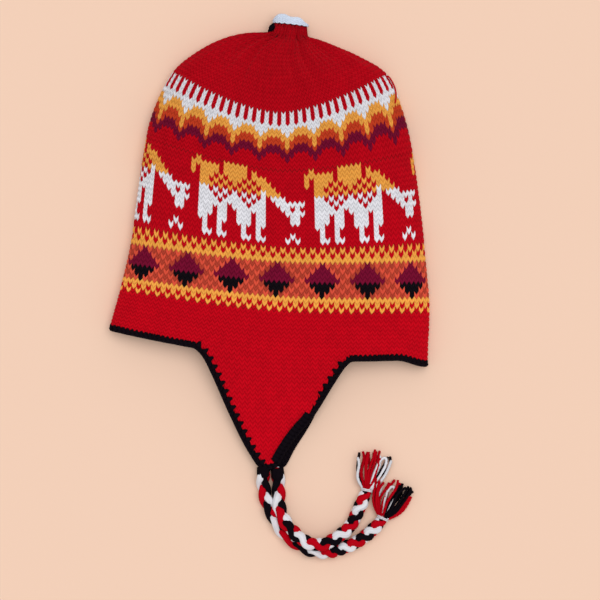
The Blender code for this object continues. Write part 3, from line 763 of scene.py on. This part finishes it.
def shared_material(name, **settings):
    return bpy.data.materials.get(name) or yarn_material(name, **settings)


# The knit body

def chart_letter(row, column):
    """The yarn of one stitch: R red, W white, O gold, U rust, P purple, B black, G and H border grounds."""
    if row in TEETH_ROWS:
        return "W" if column % 2 == 0 else "R"
    if row == WHITE_ROW:
        return "W"
    if SCALLOP_ROW <= row < SCALLOP_ROW + len(SCALLOP_CHART):
        line = SCALLOP_CHART[row - SCALLOP_ROW]
        return line[(column - SCALLOP_SHIFT) % len(line)]
    if GRAZER_ROW <= row < GRAZER_ROW + len(GRAZER_CHART):
        line = GRAZER_CHART[row - GRAZER_ROW]
        for first in GRAZER_COLUMNS:
            place = (column - first) % COLUMNS
            if place < len(line) and line[place] != ".":
                return line[place]
        return "R"
    if BORDER_ROW <= row < BORDER_END:
        return border_letter(row - BORDER_ROW, column)
    return "R"


def border_letter(line, column):
    """A border stitch: gold Vs, half-drop gold, a gold line, the diamonds, and the same in reverse."""
    last = BORDER_END - BORDER_ROW - 1
    from_edge = min(line, last - line)
    if from_edge == 0:
        return "O" if column % 2 == 0 else "R"
    if from_edge == 1:
        return "O" if column % 2 else "R"
    if from_edge == 2:
        return "O"
    diamond = line - (DIAMOND_ROW - BORDER_ROW)
    if DIAMOND_CHART[diamond][column % len(DIAMOND_CHART[diamond])] == "X":
        return "P" if diamond < DIAMOND_DARK_ROW else "B"
    return "G" if (column + diamond) % 2 else "H"


def yarn_colours(yarns):
    """Each chart letter's colour."""
    orange = np.array(yarns.orange)
    return {
        "R": yarns.red, "W": yarns.white, "O": yarns.gold, "U": yarns.rust,
        "P": yarns.purple, "B": yarns.black, "G": orange * 1.15, "H": orange * 0.68,
    }


def column_pitch(cloth):
    """Width of a front stitch at each table row."""
    steps = np.linalg.norm(np.diff(cloth.points[:, : FRONT_COLUMNS * STITCH_STEPS + 1], axis=1), axis=2)
    return steps.sum(axis=1) / FRONT_COLUMNS


def flap_cells(cloth, row):
    """Which columns have a stitch at a row below the rim."""
    column = np.arange(COLUMNS)
    rows = np.full(COLUMNS, BODY_ROWS + 0.5)
    left_x = cloth.place(rows, column.astype(float), np.zeros(COLUMNS))[:, 0]
    right_x = cloth.place(rows, column + 1.0, np.zeros(COLUMNS))[:, 0]
    low_x, high_x = np.minimum(left_x, right_x), np.maximum(left_x, right_x)
    kept = np.zeros(COLUMNS, bool)
    margin = 0.0012
    for is_front in (True, False):
        left, right = flap_sides((row + 0.5 - BODY_ROWS) / FLAP_ROWS, is_front)
        here = (column < FRONT_COLUMNS) == is_front
        kept |= here & (high_x > left + margin) & (low_x < right - margin)
    return kept


def knit_band(band, cloth, knit, yarns):
    """One band of the body as its own closed cloth."""
    rng = np.random.default_rng(knit.seed + band.first)
    rows = np.arange(band.first, band.last)
    cells = np.ones((len(rows), COLUMNS), bool)
    for k, row in enumerate(rows):
        if row >= BODY_ROWS:
            cells[k] = flap_cells(cloth, row)
    palette = yarn_colours(yarns)
    colours = np.array([[palette[chart_letter(row, column)] for column in range(COLUMNS)] for row in rows])
    colours *= rng.uniform(0.93, 1.05, colours.shape[:2])[..., None]
    alongs = np.where(np.arange(COLUMNS) < FRONT_COLUMNS, FINE_ALONG, PLAIN_ALONG)
    tall = np.where(np.arange(COLUMNS) < FRONT_COLUMNS, knit.stitch_height, knit.back_height)
    table_rows = cloth.first_row + TABLE_STEP * np.arange(len(cloth.points))
    pitch = np.interp(rows + 0.5, table_rows, column_pitch(cloth))
    fullness = np.clip(pitch / FULL_STITCH_WIDTH, 0.2, 1)[:, None]
    heights = tall[None, :] * fullness * rng.uniform(0.9, 1.08, cells.shape)
    yarn = YarnMesh()
    knit_cells(
        yarn, cloth, cells, band.first, colours, alongs, heights, knit.sunk, knit.thickness,
        squeeze_flaps if band.last > BODY_ROWS else None,
    )
    return yarn


def add_loose_end(yarn, cloth, colour):
    """A loose end of red yarn that lies curled on the yoke beside the right fold."""
    columns = np.array([61.4, 61.9, 61.8, 61.2, 60.3, 59.6])
    rows = np.array([18.4, 19.5, 20.8, 22.0, 23.0, 23.6])
    steps, height, radius, tip_radius = 30, 0.0012, 0.00065, 0.0003
    fine = np.linspace(0, len(rows) - 1, steps)
    row = smooth_at(np.arange(len(rows)), rows, fine)
    column = smooth_at(np.arange(len(rows)), columns, fine)
    path = cloth.place(row, column, np.full(steps, height))
    radii = np.full(steps, radius)
    radii[[0, -1]] = tip_radius
    yarn.add_tube(path, radii, UP, colour, 8)


class HAT_OT_knit_bands(Operator):
    """Knits the crown, yoke, figures, border and rim with the flaps as closed cloths of V stitches"""

    bl_idname = "hat.knit_bands"
    bl_label = "Knit Bands"

    def execute(self, context):
        knit, yarns = context.scene.hat_knit, context.scene.hat_yarns
        cloth = hat_cloth(knit)
        # The knit darkens towards the tip, partly as painted shade and partly for the tighter crown, and gets
        # painted shade in its grooves.
        material = shared_material("knit_wool", darker_tip=0.24, groove=0.24)
        for band in BANDS:
            yarn = knit_band(band, cloth, knit, yarns)
            if band.name == "knit_yoke":
                add_loose_end(yarn, cloth, yarns.red)
            yarn.finish(band.name, material, "knit", "knit_shell")
        return {"FINISHED"}


# The edging

NO_TEETH, SMALL_TEETH, LARGE_TEETH, CLOSE_TEETH = 0.0, 1.0, 2.0, 3.0
# Shares of a flap's length between which its right edge has long, no and close teeth
LONG_FROM, LONG_UNTIL, CLOSE_FROM = 0.04, 0.44, 0.56
EDGE_STEP = 0.001
EDGE_LOWEST = 0.0024
# The black yarn's settings: a little painted shade in its grooves, and no sheen.
DARK_YARN = {"groove": 0.1, "sheen": 0.0}


def edge_lattice(cloth):
    """Rows, columns and teeth of the cloth's free edge once round, the front half first."""
    column = np.arange(COLUMNS * 4 + 1) / 4
    rim_x = cloth.place(np.full(len(column), float(BODY_ROWS)), column, np.zeros(len(column)))[:, 0]
    down = np.linspace(0, 1, 70)
    rows, columns, teeth = [], [], []
    for is_front in (True, False):
        here = (column <= FRONT_COLUMNS) if is_front else (column >= FRONT_COLUMNS)
        x, c = rim_x[here], column[here]
        left, right = flap_sides(down, is_front)
        first, last = (left, right) if is_front else (right, left)
        order = np.argsort(x)
        first_c = np.interp(first, x[order], c[order])
        last_c = np.interp(last, x[order], c[order])
        before = c[c < first_c[0] - 0.5]
        after = c[c > last_c[0] + 0.5]
        tip = np.linspace(first_c[-1], last_c[-1], 6)[1:-1]
        columns += [before, first_c, tip, last_c[::-1], after]
        rows += [
            np.full(len(before), float(BODY_ROWS)),
            BODY_ROWS + down * FLAP_ROWS,
            np.full(len(tip), float(BODY_ROWS + FLAP_ROWS)),
            BODY_ROWS + down[::-1] * FLAP_ROWS,
            np.full(len(after), float(BODY_ROWS)),
        ]
        plain = np.where(down < CLOSE_FROM, NO_TEETH, CLOSE_TEETH)
        front_right, rear_right = (
            np.where(down < LONG_UNTIL, upper, plain) for upper in (LARGE_TEETH, SMALL_TEETH)
        )
        front_right[down < LONG_FROM] = SMALL_TEETH
        left_side = np.full(len(down), LARGE_TEETH)
        teeth += [
            np.full(len(before), SMALL_TEETH),
            left_side if is_front else rear_right,
            np.full(len(tip), NO_TEETH if is_front else CLOSE_TEETH),
            (front_right if is_front else left_side)[::-1],
            np.full(len(after), SMALL_TEETH),
        ]
    return np.concatenate(rows), np.concatenate(columns), np.concatenate(teeth)


def rounded(points, passes):
    """A closed line of points with its corners eased."""
    for _ in range(passes):
        points = (np.roll(points, 1, axis=0) + 2 * points + np.roll(points, -1, axis=0)) / 4
    return points


def edge_frames(cloth, reach, spacing):
    """Places along the free edge with their ways forward, out of the cloth and up off it, and their teeth."""
    row, column, teeth = edge_lattice(cloth)
    edge = cloth.place(row, column, np.full(len(row), -KNIT_WALL / 2))
    normal = unit(cloth.read(cloth.normals, row, column))
    closed_edge, closed_normal = (np.concatenate([table, table[:1]]) for table in (edge, normal))
    lengths = lengths_along(closed_edge)
    count = round(lengths[-1] / EDGE_STEP)
    wanted = np.arange(count) * lengths[-1] / count
    line, up = (
        np.stack([np.interp(wanted, lengths, table[:, k]) for k in range(3)], axis=1)
        for table in (closed_edge, closed_normal)
    )
    line, up = rounded(line, 3), unit(rounded(up, 6))
    forward = unit(np.roll(line, -1, axis=0) - np.roll(line, 1, axis=0))
    out = unit(rounded(unit(np.cross(forward, up)), 10))
    line = rounded(line + out * reach, 8)
    line[:, 2] = np.maximum(line[:, 2], EDGE_LOWEST)
    stations = round(len(line) * EDGE_STEP / spacing)
    place = np.arange(stations) * len(line) / stations
    index, share = place.astype(int), (place % 1)[:, None]
    following = (index + 1) % len(line)
    middle = line[index] * (1 - share) + line[following] * share
    ahead = unit(np.roll(middle, -1, axis=0) - np.roll(middle, 1, axis=0))
    outward = unit(out[index] - ahead * (out[index] * ahead).sum(axis=1)[:, None])
    frames = np.stack([ahead, outward, np.cross(outward, ahead)], axis=1)
    return middle, frames, np.interp(wanted, lengths, [*teeth, teeth[0]])[index], line


# One crochet stitch: where each short length of yarn begins, bends and ends. ahead is a share of the
# stitch length, out and up of the band's half-width and half-height.
Loop = namedtuple("Loop", "ahead out up")
BAND_LOOPS = (
    (Loop(-0.15, 0.62, 0.45), Loop(0.5, 0.55, 0.85), Loop(1.15, 0.15, 1.0)),
    (Loop(-0.15, -0.55, 0.75), Loop(0.5, -0.20, 1.0), Loop(1.15, 0.18, 0.95)),
)


def curved(corners, count):
    """Curves with one bend each, from their begin, bend and end points."""
    shares = np.linspace(0, 1, count)
    bend = np.stack([(1 - shares) ** 2, 2 * shares * (1 - shares), shares**2], axis=1)
    return np.einsum("sk,nkx->nsx", bend, corners)


def add_edge_yarn(yarn, middle, frames, corners, radii, colour):
    """The same short yarns at every place along the edge. corners is (yarns, 3, 3), in each place's frame."""
    world = middle[:, None, None] + np.einsum("lkf,nfx->nlkx", corners, frames)
    paths = curved(world.reshape(-1, 3, 3), len(radii))
    above = np.repeat(frames[:, 2], len(corners), axis=0)[:, None].repeat(len(radii), axis=1)
    paths[..., 2] = np.maximum(paths[..., 2], radii + 0.0001)
    colours = np.broadcast_to(colour, (len(paths), 3))
    yarn.add_tubes(paths, np.broadcast_to(radii, paths.shape[:2]), above, colours, 8)


class HAT_OT_make_edging(Operator):
    """Crochets the black edging round the rim and both flaps, with long stitches up the flap's side"""

    bl_idname = "hat.make_edging"
    bl_label = "Make Edging"

    def execute(self, context):
        scene = context.scene
        edging, black = scene.hat_edging, np.array(scene.hat_yarns.black)
        cloth = hat_cloth(scene.hat_knit)
        middle, frames, teeth, line = edge_frames(cloth, edging.reach, edging.stitch_length)
        yarn = YarnMesh()
        closed = np.concatenate([line[::2], line[:1]])
        width, height, step = edging.core_half_width, edging.core_half_height, edging.stitch_length
        yarn.add_tube(closed, width, UP, black * 0.8, 12, flat=height / width)
        swell = np.array([0.45, 0.9, 1.05, 1.05, 0.9, 0.45]) * edging.yarn_radius
        loops = [
            [(p.ahead * step, p.out * width, p.up * height * side) for p in loop]
            for loop in BAND_LOOPS for side in (1, -1)
        ]
        add_edge_yarn(yarn, middle, frames, np.array(loops), swell, black)
        kind = np.rint(teeth)
        every_second = np.arange(len(middle)) % 2 == 0
        for chosen, reach, base, tip in (
            ((kind == LARGE_TEETH) & every_second, edging.large_tooth, 0.0027, 0.0007),
            (kind == CLOSE_TEETH, edging.large_tooth, 0.0026, 0.0022),
            (kind == SMALL_TEETH, edging.small_tooth, 0.0014, 0.0008),
        ):
            tooth = [
                [(0.5 * step, -0.3 * width, 0.9 * height * side),
                 (0.5 * step, -width - reach * 0.3, 1.1 * height * side),
                 (0.5 * step, -width - reach, height * side)]
                for side in (1, -1)
            ]
            taper = np.linspace(base, tip, 6)
            add_edge_yarn(yarn, middle[chosen], frames[chosen], np.array(tooth), taper, black)
        yarn.finish("crochet_edging", shared_material("edging_wool", **DARK_YARN), "edging", "edge_trim")
        return {"FINISHED"}


# The topknot and its tie

KNOT_LOW, KNOT_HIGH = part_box("top_ruffle")
KNOT_SHIFT = 0.0022
KNOT_COLUMNS = 18
KNOT_ROWS = 9
KNOT_STITCH_HEIGHT = 0.0007

# The topknot's side, from the red neck up, over the rolled rim and down into the well. out is a share
# of the half-width, up a share of the height, and row the knit row there.
KnotLine = namedtuple("KnotLine", "row out up")
KNOT_PROFILE = (
    KnotLine(-1.0, 0.92, -0.06),
    KnotLine(0.0, 0.97, 0.02),
    KnotLine(1.2, 1.00, 0.28),
    KnotLine(2.4, 1.00, 0.56),
    KnotLine(3.4, 0.95, 0.80),
    KnotLine(4.2, 0.84, 0.95),
    KnotLine(5.0, 0.68, 1.00),
    KnotLine(5.8, 0.54, 0.90),
    KnotLine(6.8, 0.42, 0.70),
    KnotLine(7.8, 0.26, 0.60),
    KnotLine(9.6, 0.05, 0.56),
)
# The lumpy top of the roll from the left side to the right: rise is a share of the topknot's height.
KnotTop = namedtuple("KnotTop", "across rise")
KNOT_TOP = (
    KnotTop(-1.0, 0.66),
    KnotTop(-0.85, 0.765),
    KnotTop(-0.6, 0.81),
    KnotTop(-0.4, 0.80),
    KnotTop(-0.2, 0.75),
    KnotTop(0.05, 0.69),
    KnotTop(0.45, 0.68),
    KnotTop(0.62, 0.65),
    KnotTop(0.8, 0.55),
    KnotTop(1.0, 0.43),
)


def knot_cloth():
    """The topknot's surface: a flattened roll over the neck, high on the left and low on the right."""
    rows = np.arange(-1.0, KNOT_ROWS + 1, TABLE_STEP)
    at = [line.row for line in KNOT_PROFILE]
    out = smooth_at(at, [line.out for line in KNOT_PROFILE], rows)[:, None]
    rise = smooth_at(at, [line.up for line in KNOT_PROFILE], rows)[:, None]
    steps = KNOT_COLUMNS * STITCH_STEPS
    turn = math.pi - 2 * math.pi * np.arange(steps + 1)[None] / steps
    half_width = (KNOT_HIGH.x - KNOT_LOW.x) / 2 - KNOT_SHIFT / 2
    half_height = (KNOT_HIGH.z - KNOT_LOW.z) / 2 - 0.0004
    across = np.cos(turn)
    thin = half_width - half_height
    middle = (KNOT_LOW.x + KNOT_HIGH.x) / 2 + KNOT_SHIFT
    x = middle + across * (half_height * out + thin * np.minimum(out + 0.25, 0.96))
    z = (KNOT_LOW.z + KNOT_HIGH.z) / 2 + np.sin(turn) * half_height * out
    ripple = 0.0006 * np.cos(5 * turn + 0.6) * ease(2, 5, rows[:, None])
    neck = KNOT_LOW.y + 0.0084 - 0.0016 * across
    top_rise = smooth_at([top.across for top in KNOT_TOP], [top.rise for top in KNOT_TOP], across[0])
    top = KNOT_LOW.y + (KNOT_HIGH.y - KNOT_LOW.y) * top_rise[None]
    y = neck + (top - neck) * rise
    points = np.stack([x + ripple * across, y, z + ripple * np.sin(turn)], axis=-1)
    return Cloth(points, -1.0, 1 / STITCH_STEPS)


class HAT_OT_make_topknot(Operator):
    """Knits the white rim that rolls over at the top of the neck"""

    bl_idname = "hat.make_topknot"
    bl_label = "Make Topknot"

    def execute(self, context):
        scene = context.scene
        knit, yarns = scene.hat_knit, scene.hat_yarns
        cloth = knot_cloth()
        rng = np.random.default_rng(knit.seed)
        cells = np.ones((KNOT_ROWS, KNOT_COLUMNS), bool)
        colours = np.array(yarns.pale_blue) * rng.uniform(0.94, 1.02, cells.shape)[..., None]
        heights = np.full(cells.shape, KNOT_STITCH_HEIGHT)
        alongs = np.full(KNOT_COLUMNS, FINE_ALONG)
        yarn = YarnMesh()
        # The topknot is knitted upwards, so its cloth's normals and its faces are turned over.
        upside = Cloth(cloth.points, cloth.first_row, cloth.columns_apart)
        upside.normals = -cloth.normals
        knit_cells(yarn, upside, cells, 0, colours, alongs, heights, sunk=0.0005, thickness=0.0012)
        yarn.faces = [(f[0][:, ::-1], f[1], f[2][:, ::-1]) for f in yarn.faces]
        yarn.finish("knit_topknot", shared_material("topknot_wool", groove=0.08), "knit", "top_ruffle")
        return {"FINISHED"}


# The tie's end over the neck's left side, measured from the topknot's lowest corner
TIE_END = (
    (0.0009, 0.0034, 0.0078), (0.0023, 0.0050, 0.0108), (0.0033, 0.0071, 0.0126), (0.0043, 0.0095, 0.0130),
)


class HAT_OT_make_crown_tie(Operator):
    """Passes the black yarn that cinches the tip under the neck and knots its end on the left"""

    bl_idname = "hat.make_crown_tie"
    bl_label = "Make Crown Tie"

    def execute(self, context):
        scene = context.scene
        black = np.array(scene.hat_yarns.black)
        corner = np.array(KNOT_LOW)
        radius = 0.0012
        middle = (np.array(KNOT_LOW) + np.array(KNOT_HIGH)) / 2
        middle[1] = KNOT_LOW.y + 0.0036
        half_width, half_height = middle[0] - KNOT_LOW.x + 0.0006, middle[2] - KNOT_LOW.z + 0.0006
        turn = np.radians(np.linspace(-60, -165, 24))
        under = middle + np.stack([
            half_width * np.cos(turn), -0.0012 * np.cos(turn), half_height * np.sin(turn)
        ], axis=1)
        path = smooth_route([*under[::4], *(corner + np.array(TIE_END))], 0.0008)
        share = np.linspace(0, 1, len(path))
        radii = radius * (1 + 0.45 * ease(0.72, 0.82, share)) * (1 - 0.5 * ease(0.95, 1.0, share))
        yarn = YarnMesh()
        yarn.add_tube(path, radii, (0.0, 1.0, 0.0), black, 12, ridge=0.15)
        start, end = corner + np.array(TIE_END[1]), corner + np.array(TIE_END[2])
        add_winding(yarn, start, unit(end - start), 0.0008, black, around=0.0014, length=0.0030)
        yarn.finish("crown_tie_yarn", shared_material("edging_wool", **DARK_YARN), "edging", "crown_tie")
        return {"FINISHED"}


# Braids and tassels

# Yarns of a tassel that lie together. turn is in degrees to the left of the tassel's own line, and reach
# a share of the yarn length.
TasselGroup = namedtuple("TasselGroup", "colour count turn_from turn_to reach_from reach_to looped")
TASSEL_GROUPS = {
    "rear": (
        TasselGroup("red", 6, 18, 0, 0.90, 1.0, False),
        TasselGroup("black", 1, 22, 22, 0.92, 0.94, False),
        TasselGroup("red", 3, 2, -8, 1.0, 1.06, False),
        TasselGroup("white", 1, 25, 25, 0.80, 0.84, False),
        TasselGroup("white", 2, -8, -17, 0.80, 0.92, True),
        TasselGroup("red", 2, -10, -18, 0.84, 0.92, False),
        TasselGroup("black", 2, -17, -23, 0.94, 1.0, False),
        TasselGroup("white", 1, -28, -28, 0.92, 0.94, False),
    ),
    "front": (
        TasselGroup("red", 6, 34, 12, 0.88, 1.0, False),
        TasselGroup("white", 1, 23, 23, 0.84, 0.86, False),
        TasselGroup("white", 1, 6, 6, 0.80, 0.86, True),
        TasselGroup("red", 3, 8, -2, 0.98, 1.04, False),
        TasselGroup("black", 10, -3, -23, 0.92, 1.03, False),
        TasselGroup("red", 2, -25, -29, 0.84, 0.92, False),
    ),
}

# How the strands turn about each other: at is a share of the braid's length from the flap to its tie,
# turns counts how often a strand has come back to its side, and tilt is how many degrees the braid
# has rolled onto its inner edge. The plait is closer near the tie.
Beat = namedtuple("Beat", "at turns tilt")
BRAID_STRANDS = ("white", "black", "red")
BRAID_BEATS = {
    "front": (
        Beat(-0.057, -0.10, 0), Beat(0.039, 0.25, 0), Beat(0.313, 1.25, 20), Beat(0.584, 2.25, 45),
        Beat(0.734, 3.20, 75), Beat(0.919, 4.25, 80), Beat(1.0, 4.75, 70),
    ),
    "rear": (
        Beat(-0.060, -0.56, 0), Beat(0.166, 0.25, 20), Beat(0.444, 1.25, 75), Beat(0.693, 2.25, 80),
        Beat(0.896, 3.25, 80), Beat(1.0, 3.75, 70),
    ),
}
# The edging's last yarn laps over each braid: begins and ends are metres along it from the flap's tip.
Lap = namedtuple("Lap", "begins ends radius")
EDGING_LAPS = {"front": Lap(-0.0075, 0.0034, 0.0052), "rear": Lap(-0.0080, 0.0052, 0.0052)}
ROOT_HEIGHT = 0.0045
# Painted shade: the braids, ties and tassels take darker copies of the yarn colours.
BRAID_PAINTED_SHADE = {"red": 0.74, "white": 0.76, "black": 0.8}


def with_root(points, length):
    """The braid's line with its root, which runs back under the flap's tip."""
    back = (points[0] - points[4]) * (1.0, 1.0, 0.0)
    share = np.linspace(1, 0, 9, endpoint=False)[:, None]
    root = points[0] + unit(back) * share * length
    root[:, 2] += (ROOT_HEIGHT - points[0, 2]) * ease(0, 1, share[:, 0])
    return np.concatenate([root, points])


def add_lap(yarn, points, lap, root_length, colour):
    """Black yarn from the flap's tip over the start of a braid, narrower towards its end."""
    lengths = lengths_along(points) - root_length
    here = (lengths > lap.begins) & (lengths < lap.ends)
    share = (lengths[here] - lap.begins) / (lap.ends - lap.begins)
    path = points[here] + np.outer(0.0016 - 0.0010 * share, UP)
    radii = lap.radius * (1 - 0.55 * ease(0.6, 1.0, share))
    yarn.add_tube(path, radii, UP, colour, 30, flat=0.86, twist_length=0.020, plies=7, ridge=0.14)


def add_braid(yarn, points, beats, palette, braid):
    """Three strands that pass over and under each other along the points."""
    forward = unit(np.gradient(points, axis=0))
    side = unit(np.cross(forward, UP))
    up = np.cross(side, forward)
    lengths = lengths_along(points)
    # The strands draw together at the root and under the tie.
    from_tie = lengths[-1] - lengths
    close = (0.5 + 0.5 * ease(0.0, braid.root_length, lengths)) * (0.6 + 0.4 * ease(0.0, 0.006, from_tie))
    at = (lengths - braid.root_length) / (lengths[-1] - braid.root_length)
    places = [beat.at for beat in beats]
    turns = smooth_at(places, [beat.turns for beat in beats], at)
    tilt = np.radians(smooth_at(places, [float(beat.tilt) for beat in beats], at))[:, None]
    side, up = side * np.cos(tilt) + up * np.sin(tilt), up * np.cos(tilt) - side * np.sin(tilt)
    rolled = np.sin(tilt[:, 0])
    tubes, radii, shown = [], [], []
    for k, name in enumerate(BRAID_STRANDS):
        phase = 2 * math.pi * (turns + k / 3)
        swing = side * (braid.side_swing * np.sin(phase) * close * (1 - 0.5 * rolled))[:, None]
        swing += up * (braid.rise_swing * np.sin(2 * phase) * close)[:, None]
        tubes.append(points + swing)
        radii.append(braid.strand_half_width * (0.52 + 0.48 * close) * (1 + 0.39 * rolled))
        shown.append(palette[name])
    above = np.broadcast_to(up, (3, *points.shape))
    yarn.add_tubes(
        np.array(tubes), np.array(radii), above, np.array(shown), 30,
        flat=braid.strand_half_height / braid.strand_half_width, twist_length=0.030, plies=7, ridge=0.10,
    )


def add_winding(yarn, place, heading, radius, colour, around=0.0042, length=0.0022):
    """Thin yarn wound two times round a braid's end or a knot."""
    turns = 2.1
    share = np.linspace(0, 1, 60)
    turn = 2 * math.pi * turns * share
    side = unit(np.cross(heading, UP))
    path = (
        place
        + side * (around * 1.12 * np.cos(turn))[:, None]
        + np.cross(side, heading) * (around * np.sin(turn))[:, None]
        + heading * (share * length)[:, None]
    )
    yarn.add_tube(path, radius, heading, colour, 8)


def add_tassel(yarn, place, turn, groups, palette, tassel):
    """Loose yarn ends that leave the tie together, spread out on the table and curl a little."""
    rng = np.random.default_rng(tassel.seed + round(turn))
    share = np.linspace(0, 1, 30)[:, None]
    across = np.array([-math.sin(math.radians(turn)), math.cos(math.radians(turn)), 0.0])
    paths, colours = [], []
    for group in groups:
        for k in range(group.count):
            place_in_group = k / max(1, group.count - 1)
            aim = group.turn_from + (group.turn_to - group.turn_from) * place_in_group
            aim += rng.uniform(-2.0, 2.0)
            reach = tassel.yarn_length * rng.uniform(group.reach_from, group.reach_to)
            angle = math.radians(turn + 0.82 * aim)
            way = np.array([math.cos(angle), math.sin(angle), 0.0])
            cross = np.array([-way[1], way[0], 0.0])
            height, lean, wave = rng.uniform(-0.0028, 0.0030), rng.uniform(-1, 1), rng.uniform(1.2, 2.4)
            lateral = math.sin(math.radians(aim))
            bulge = lateral * 0.006 * np.sin(math.pi * share)
            if group.looped:
                out, aside = np.sin(math.pi * share), tassel.curl * np.sin(2 * math.pi * share)
            else:
                out, aside = share, tassel.curl * lean * np.sin(wave * math.pi * share) * share + bulge
            foot = across * (tassel.foot_width * lateral / 0.5 + rng.uniform(-0.0004, 0.0004))
            path = place + foot + way * out * reach + cross * aside
            path[:, 2:] = place[2] + height * ease(0.0, 0.3, out) - 0.0006 * out
            path[:, 2] = np.maximum(path[:, 2], tassel.yarn_radius + 0.0002)
            paths.append(path)
            colours.append(np.array(palette[group.colour]) * rng.uniform(0.85, 1.05))
    paths = np.array(paths)
    radii = np.full(paths.shape[:2], tassel.yarn_radius) * (0.7 + 0.3 * ease(0.0, 0.2, share[:, 0]))
    radii[:, -1] *= 0.8
    above = np.broadcast_to(UP, paths.shape)
    yarn.add_tubes(paths, radii, above, np.array(colours), 9, ridge=0.35, twist_length=0.0032)


class HAT_OT_make_braids(Operator):
    bl_idname = "hat.make_braids"
    bl_label = "Make Braids"

    def execute(self, context):
        scene = context.scene
        braid, tassel, yarns = scene.hat_braids, scene.hat_tassels, scene.hat_yarns
        # Darker copies of the yarn colours, as painted shade on the braids, ties and tassels.
        palette = {name: np.array(getattr(yarns, name)) * shade for name, shade in BRAID_PAINTED_SHADE.items()}
        material = shared_material("braid_wool", groove=0.0, sheen=0.0)
        for side, route in (("front", BRAID_FRONT_ROUTE), ("rear", BRAID_REAR_ROUTE)):
            points = smooth_route(route, 0.0009) + np.array(BRAID_SHIFT)
            points = with_root(points, braid.root_length)
            turn = TASSEL_TURNS[side]
            heading = np.array([math.cos(math.radians(turn)), math.sin(math.radians(turn)), 0.0])
            strands = YarnMesh()
            add_braid(strands, points, BRAID_BEATS[side], palette, braid)
            add_lap(strands, points, EDGING_LAPS[side], braid.root_length, palette["black"])
            cord = strands.finish(f"{side}_braid", material, "braid_yarn", f"braid_{side}")
            tie = YarnMesh()
            add_winding(tie, points[-1] + heading * 0.0004, heading, tassel.winding_radius, palette["white"])
            tie = tie.finish(f"{side}_braid_tie", material, "white_yarn", f"tassel_tie_{side}")
            ends = YarnMesh()
            add_tassel(ends, points[-1] + heading * 0.0012, turn, TASSEL_GROUPS[side], palette, tassel)
            ends = ends.finish(f"{side}_tassel", material, "tassel_yarn", f"tassel_{side}")
        return {"FINISHED"}


# The stage

VIEW_MIDDLE = (0.02518, -0.04698)
LAMP_PLACE = (0.18, 0.22, 1.2)


class HAT_OT_make_stage(Operator):
    """Lays the pale floor, hangs the soft lights and sets the camera straight above the hat"""

    bl_idname = "hat.make_stage"
    bl_label = "Make Stage"

    def execute(self, context):
        scene = context.scene
        stage = scene.hat_stage
        bpy.ops.object.select_all(action="DESELECT")
        bpy.ops.mesh.primitive_plane_add(size=6.0, location=(0.0, 0.0, 0.0))
        floor = context.object
        floor.name = "floor"
        material = bpy.data.materials.new("floor_paint")
        material.use_nodes = True
        shader = material.node_tree.nodes["Principled BSDF"]
        start = Shade(material.node_tree)
        place = start.node("ShaderNodeTexCoord", output="Object")
        mottle = start.node("ShaderNodeTexNoise", inputs={"Vector": place, "Scale": 3.0, "Detail": 2.0})
        tint = start.node("ShaderNodeMix", {"data_type": "RGBA"}, {
            "Factor_Float": mottle,
            "A_Color": (*[value * 0.985 for value in stage.floor_colour], 1.0),
            "B_Color": (*stage.floor_colour, 1.0),
        }, output="Result_Color")
        material.node_tree.links.new(tint.socket, shader.inputs["Base Color"])
        shader.inputs["Roughness"].default_value = 0.95
        shader.inputs["Specular IOR Level"].default_value = 0.0
        floor.data.materials.append(material)
        world = bpy.data.worlds.new("studio")
        world.use_nodes = True
        backdrop = world.node_tree.nodes["Background"]
        backdrop.inputs["Color"].default_value = (1.0, 0.985, 0.97, 1.0)
        backdrop.inputs["Strength"].default_value = stage.ambient
        scene.world = world
        light = bpy.data.lights.new("key_light", "SUN")
        light.energy = stage.key_strength
        light.angle = stage.key_spread
        lamp = bpy.data.objects.new("key_light", light)
        lamp.location = LAMP_PLACE
        lamp.rotation_euler = (-lamp.location).to_track_quat("-Z", "Y").to_euler()
        scene.collection.objects.link(lamp)
        camera = bpy.data.cameras.new("camera")
        camera.sensor_width = 36.0
        camera.lens = camera.sensor_width * stage.camera_height / stage.view_width
        camera.clip_end = 20.0
        eye = bpy.data.objects.new("camera", camera)
        eye.location = (*VIEW_MIDDLE, stage.camera_height)
        scene.collection.objects.link(eye)
        scene.camera = eye
        scene.view_settings.view_transform = "Standard"
        return {"FINISHED"}


class HAT_PT_panel(Panel):
    """Lists the hat's pieces in the sidebar"""

    bl_label = "Earflap Hat"
    bl_idname = "HAT_PT_panel"
    bl_space_type = "VIEW_3D"
    bl_region_type = "UI"
    bl_category = "Hat"

    def draw(self, context):
        for operator in OPERATORS:
            self.layout.operator(operator.bl_idname)
        for name in SETTINGS:
            box = self.layout.box()
            group = getattr(context.scene, name)
            box.label(text=name.replace("_", " ").title())
            for key in type(group).__annotations__:
                box.prop(group, key)


SETTINGS = {
    "hat_yarns": HatYarnSettings,
    "hat_knit": HatKnitSettings,
    "hat_edging": HatEdgingSettings,
    "hat_braids": HatBraidSettings,
    "hat_tassels": HatTasselSettings,
    "hat_stage": HatStageSettings,
}
OPERATORS = (
    HAT_OT_make_stage,
    HAT_OT_make_braids,
    HAT_OT_knit_bands,
    HAT_OT_make_edging,
    HAT_OT_make_topknot,
    HAT_OT_make_crown_tie,
)


def register():
    for group in SETTINGS.values():
        bpy.utils.register_class(group)
    for kind in (*OPERATORS, HAT_PT_panel):
        bpy.utils.register_class(kind)
    for name, group in SETTINGS.items():
        setattr(bpy.types.Scene, name, PointerProperty(type=group))


def unregister():
    for name in SETTINGS:
        delattr(bpy.types.Scene, name)
    for kind in (HAT_PT_panel, *reversed(OPERATORS)):
        bpy.utils.unregister_class(kind)
    for group in reversed(SETTINGS.values()):
        bpy.utils.unregister_class(group)


def main():
    register()
    for operator in OPERATORS:
        group, name = operator.bl_idname.split(".")
        getattr(getattr(bpy.ops, group), name)()


if __name__ == "__main__":
    main()
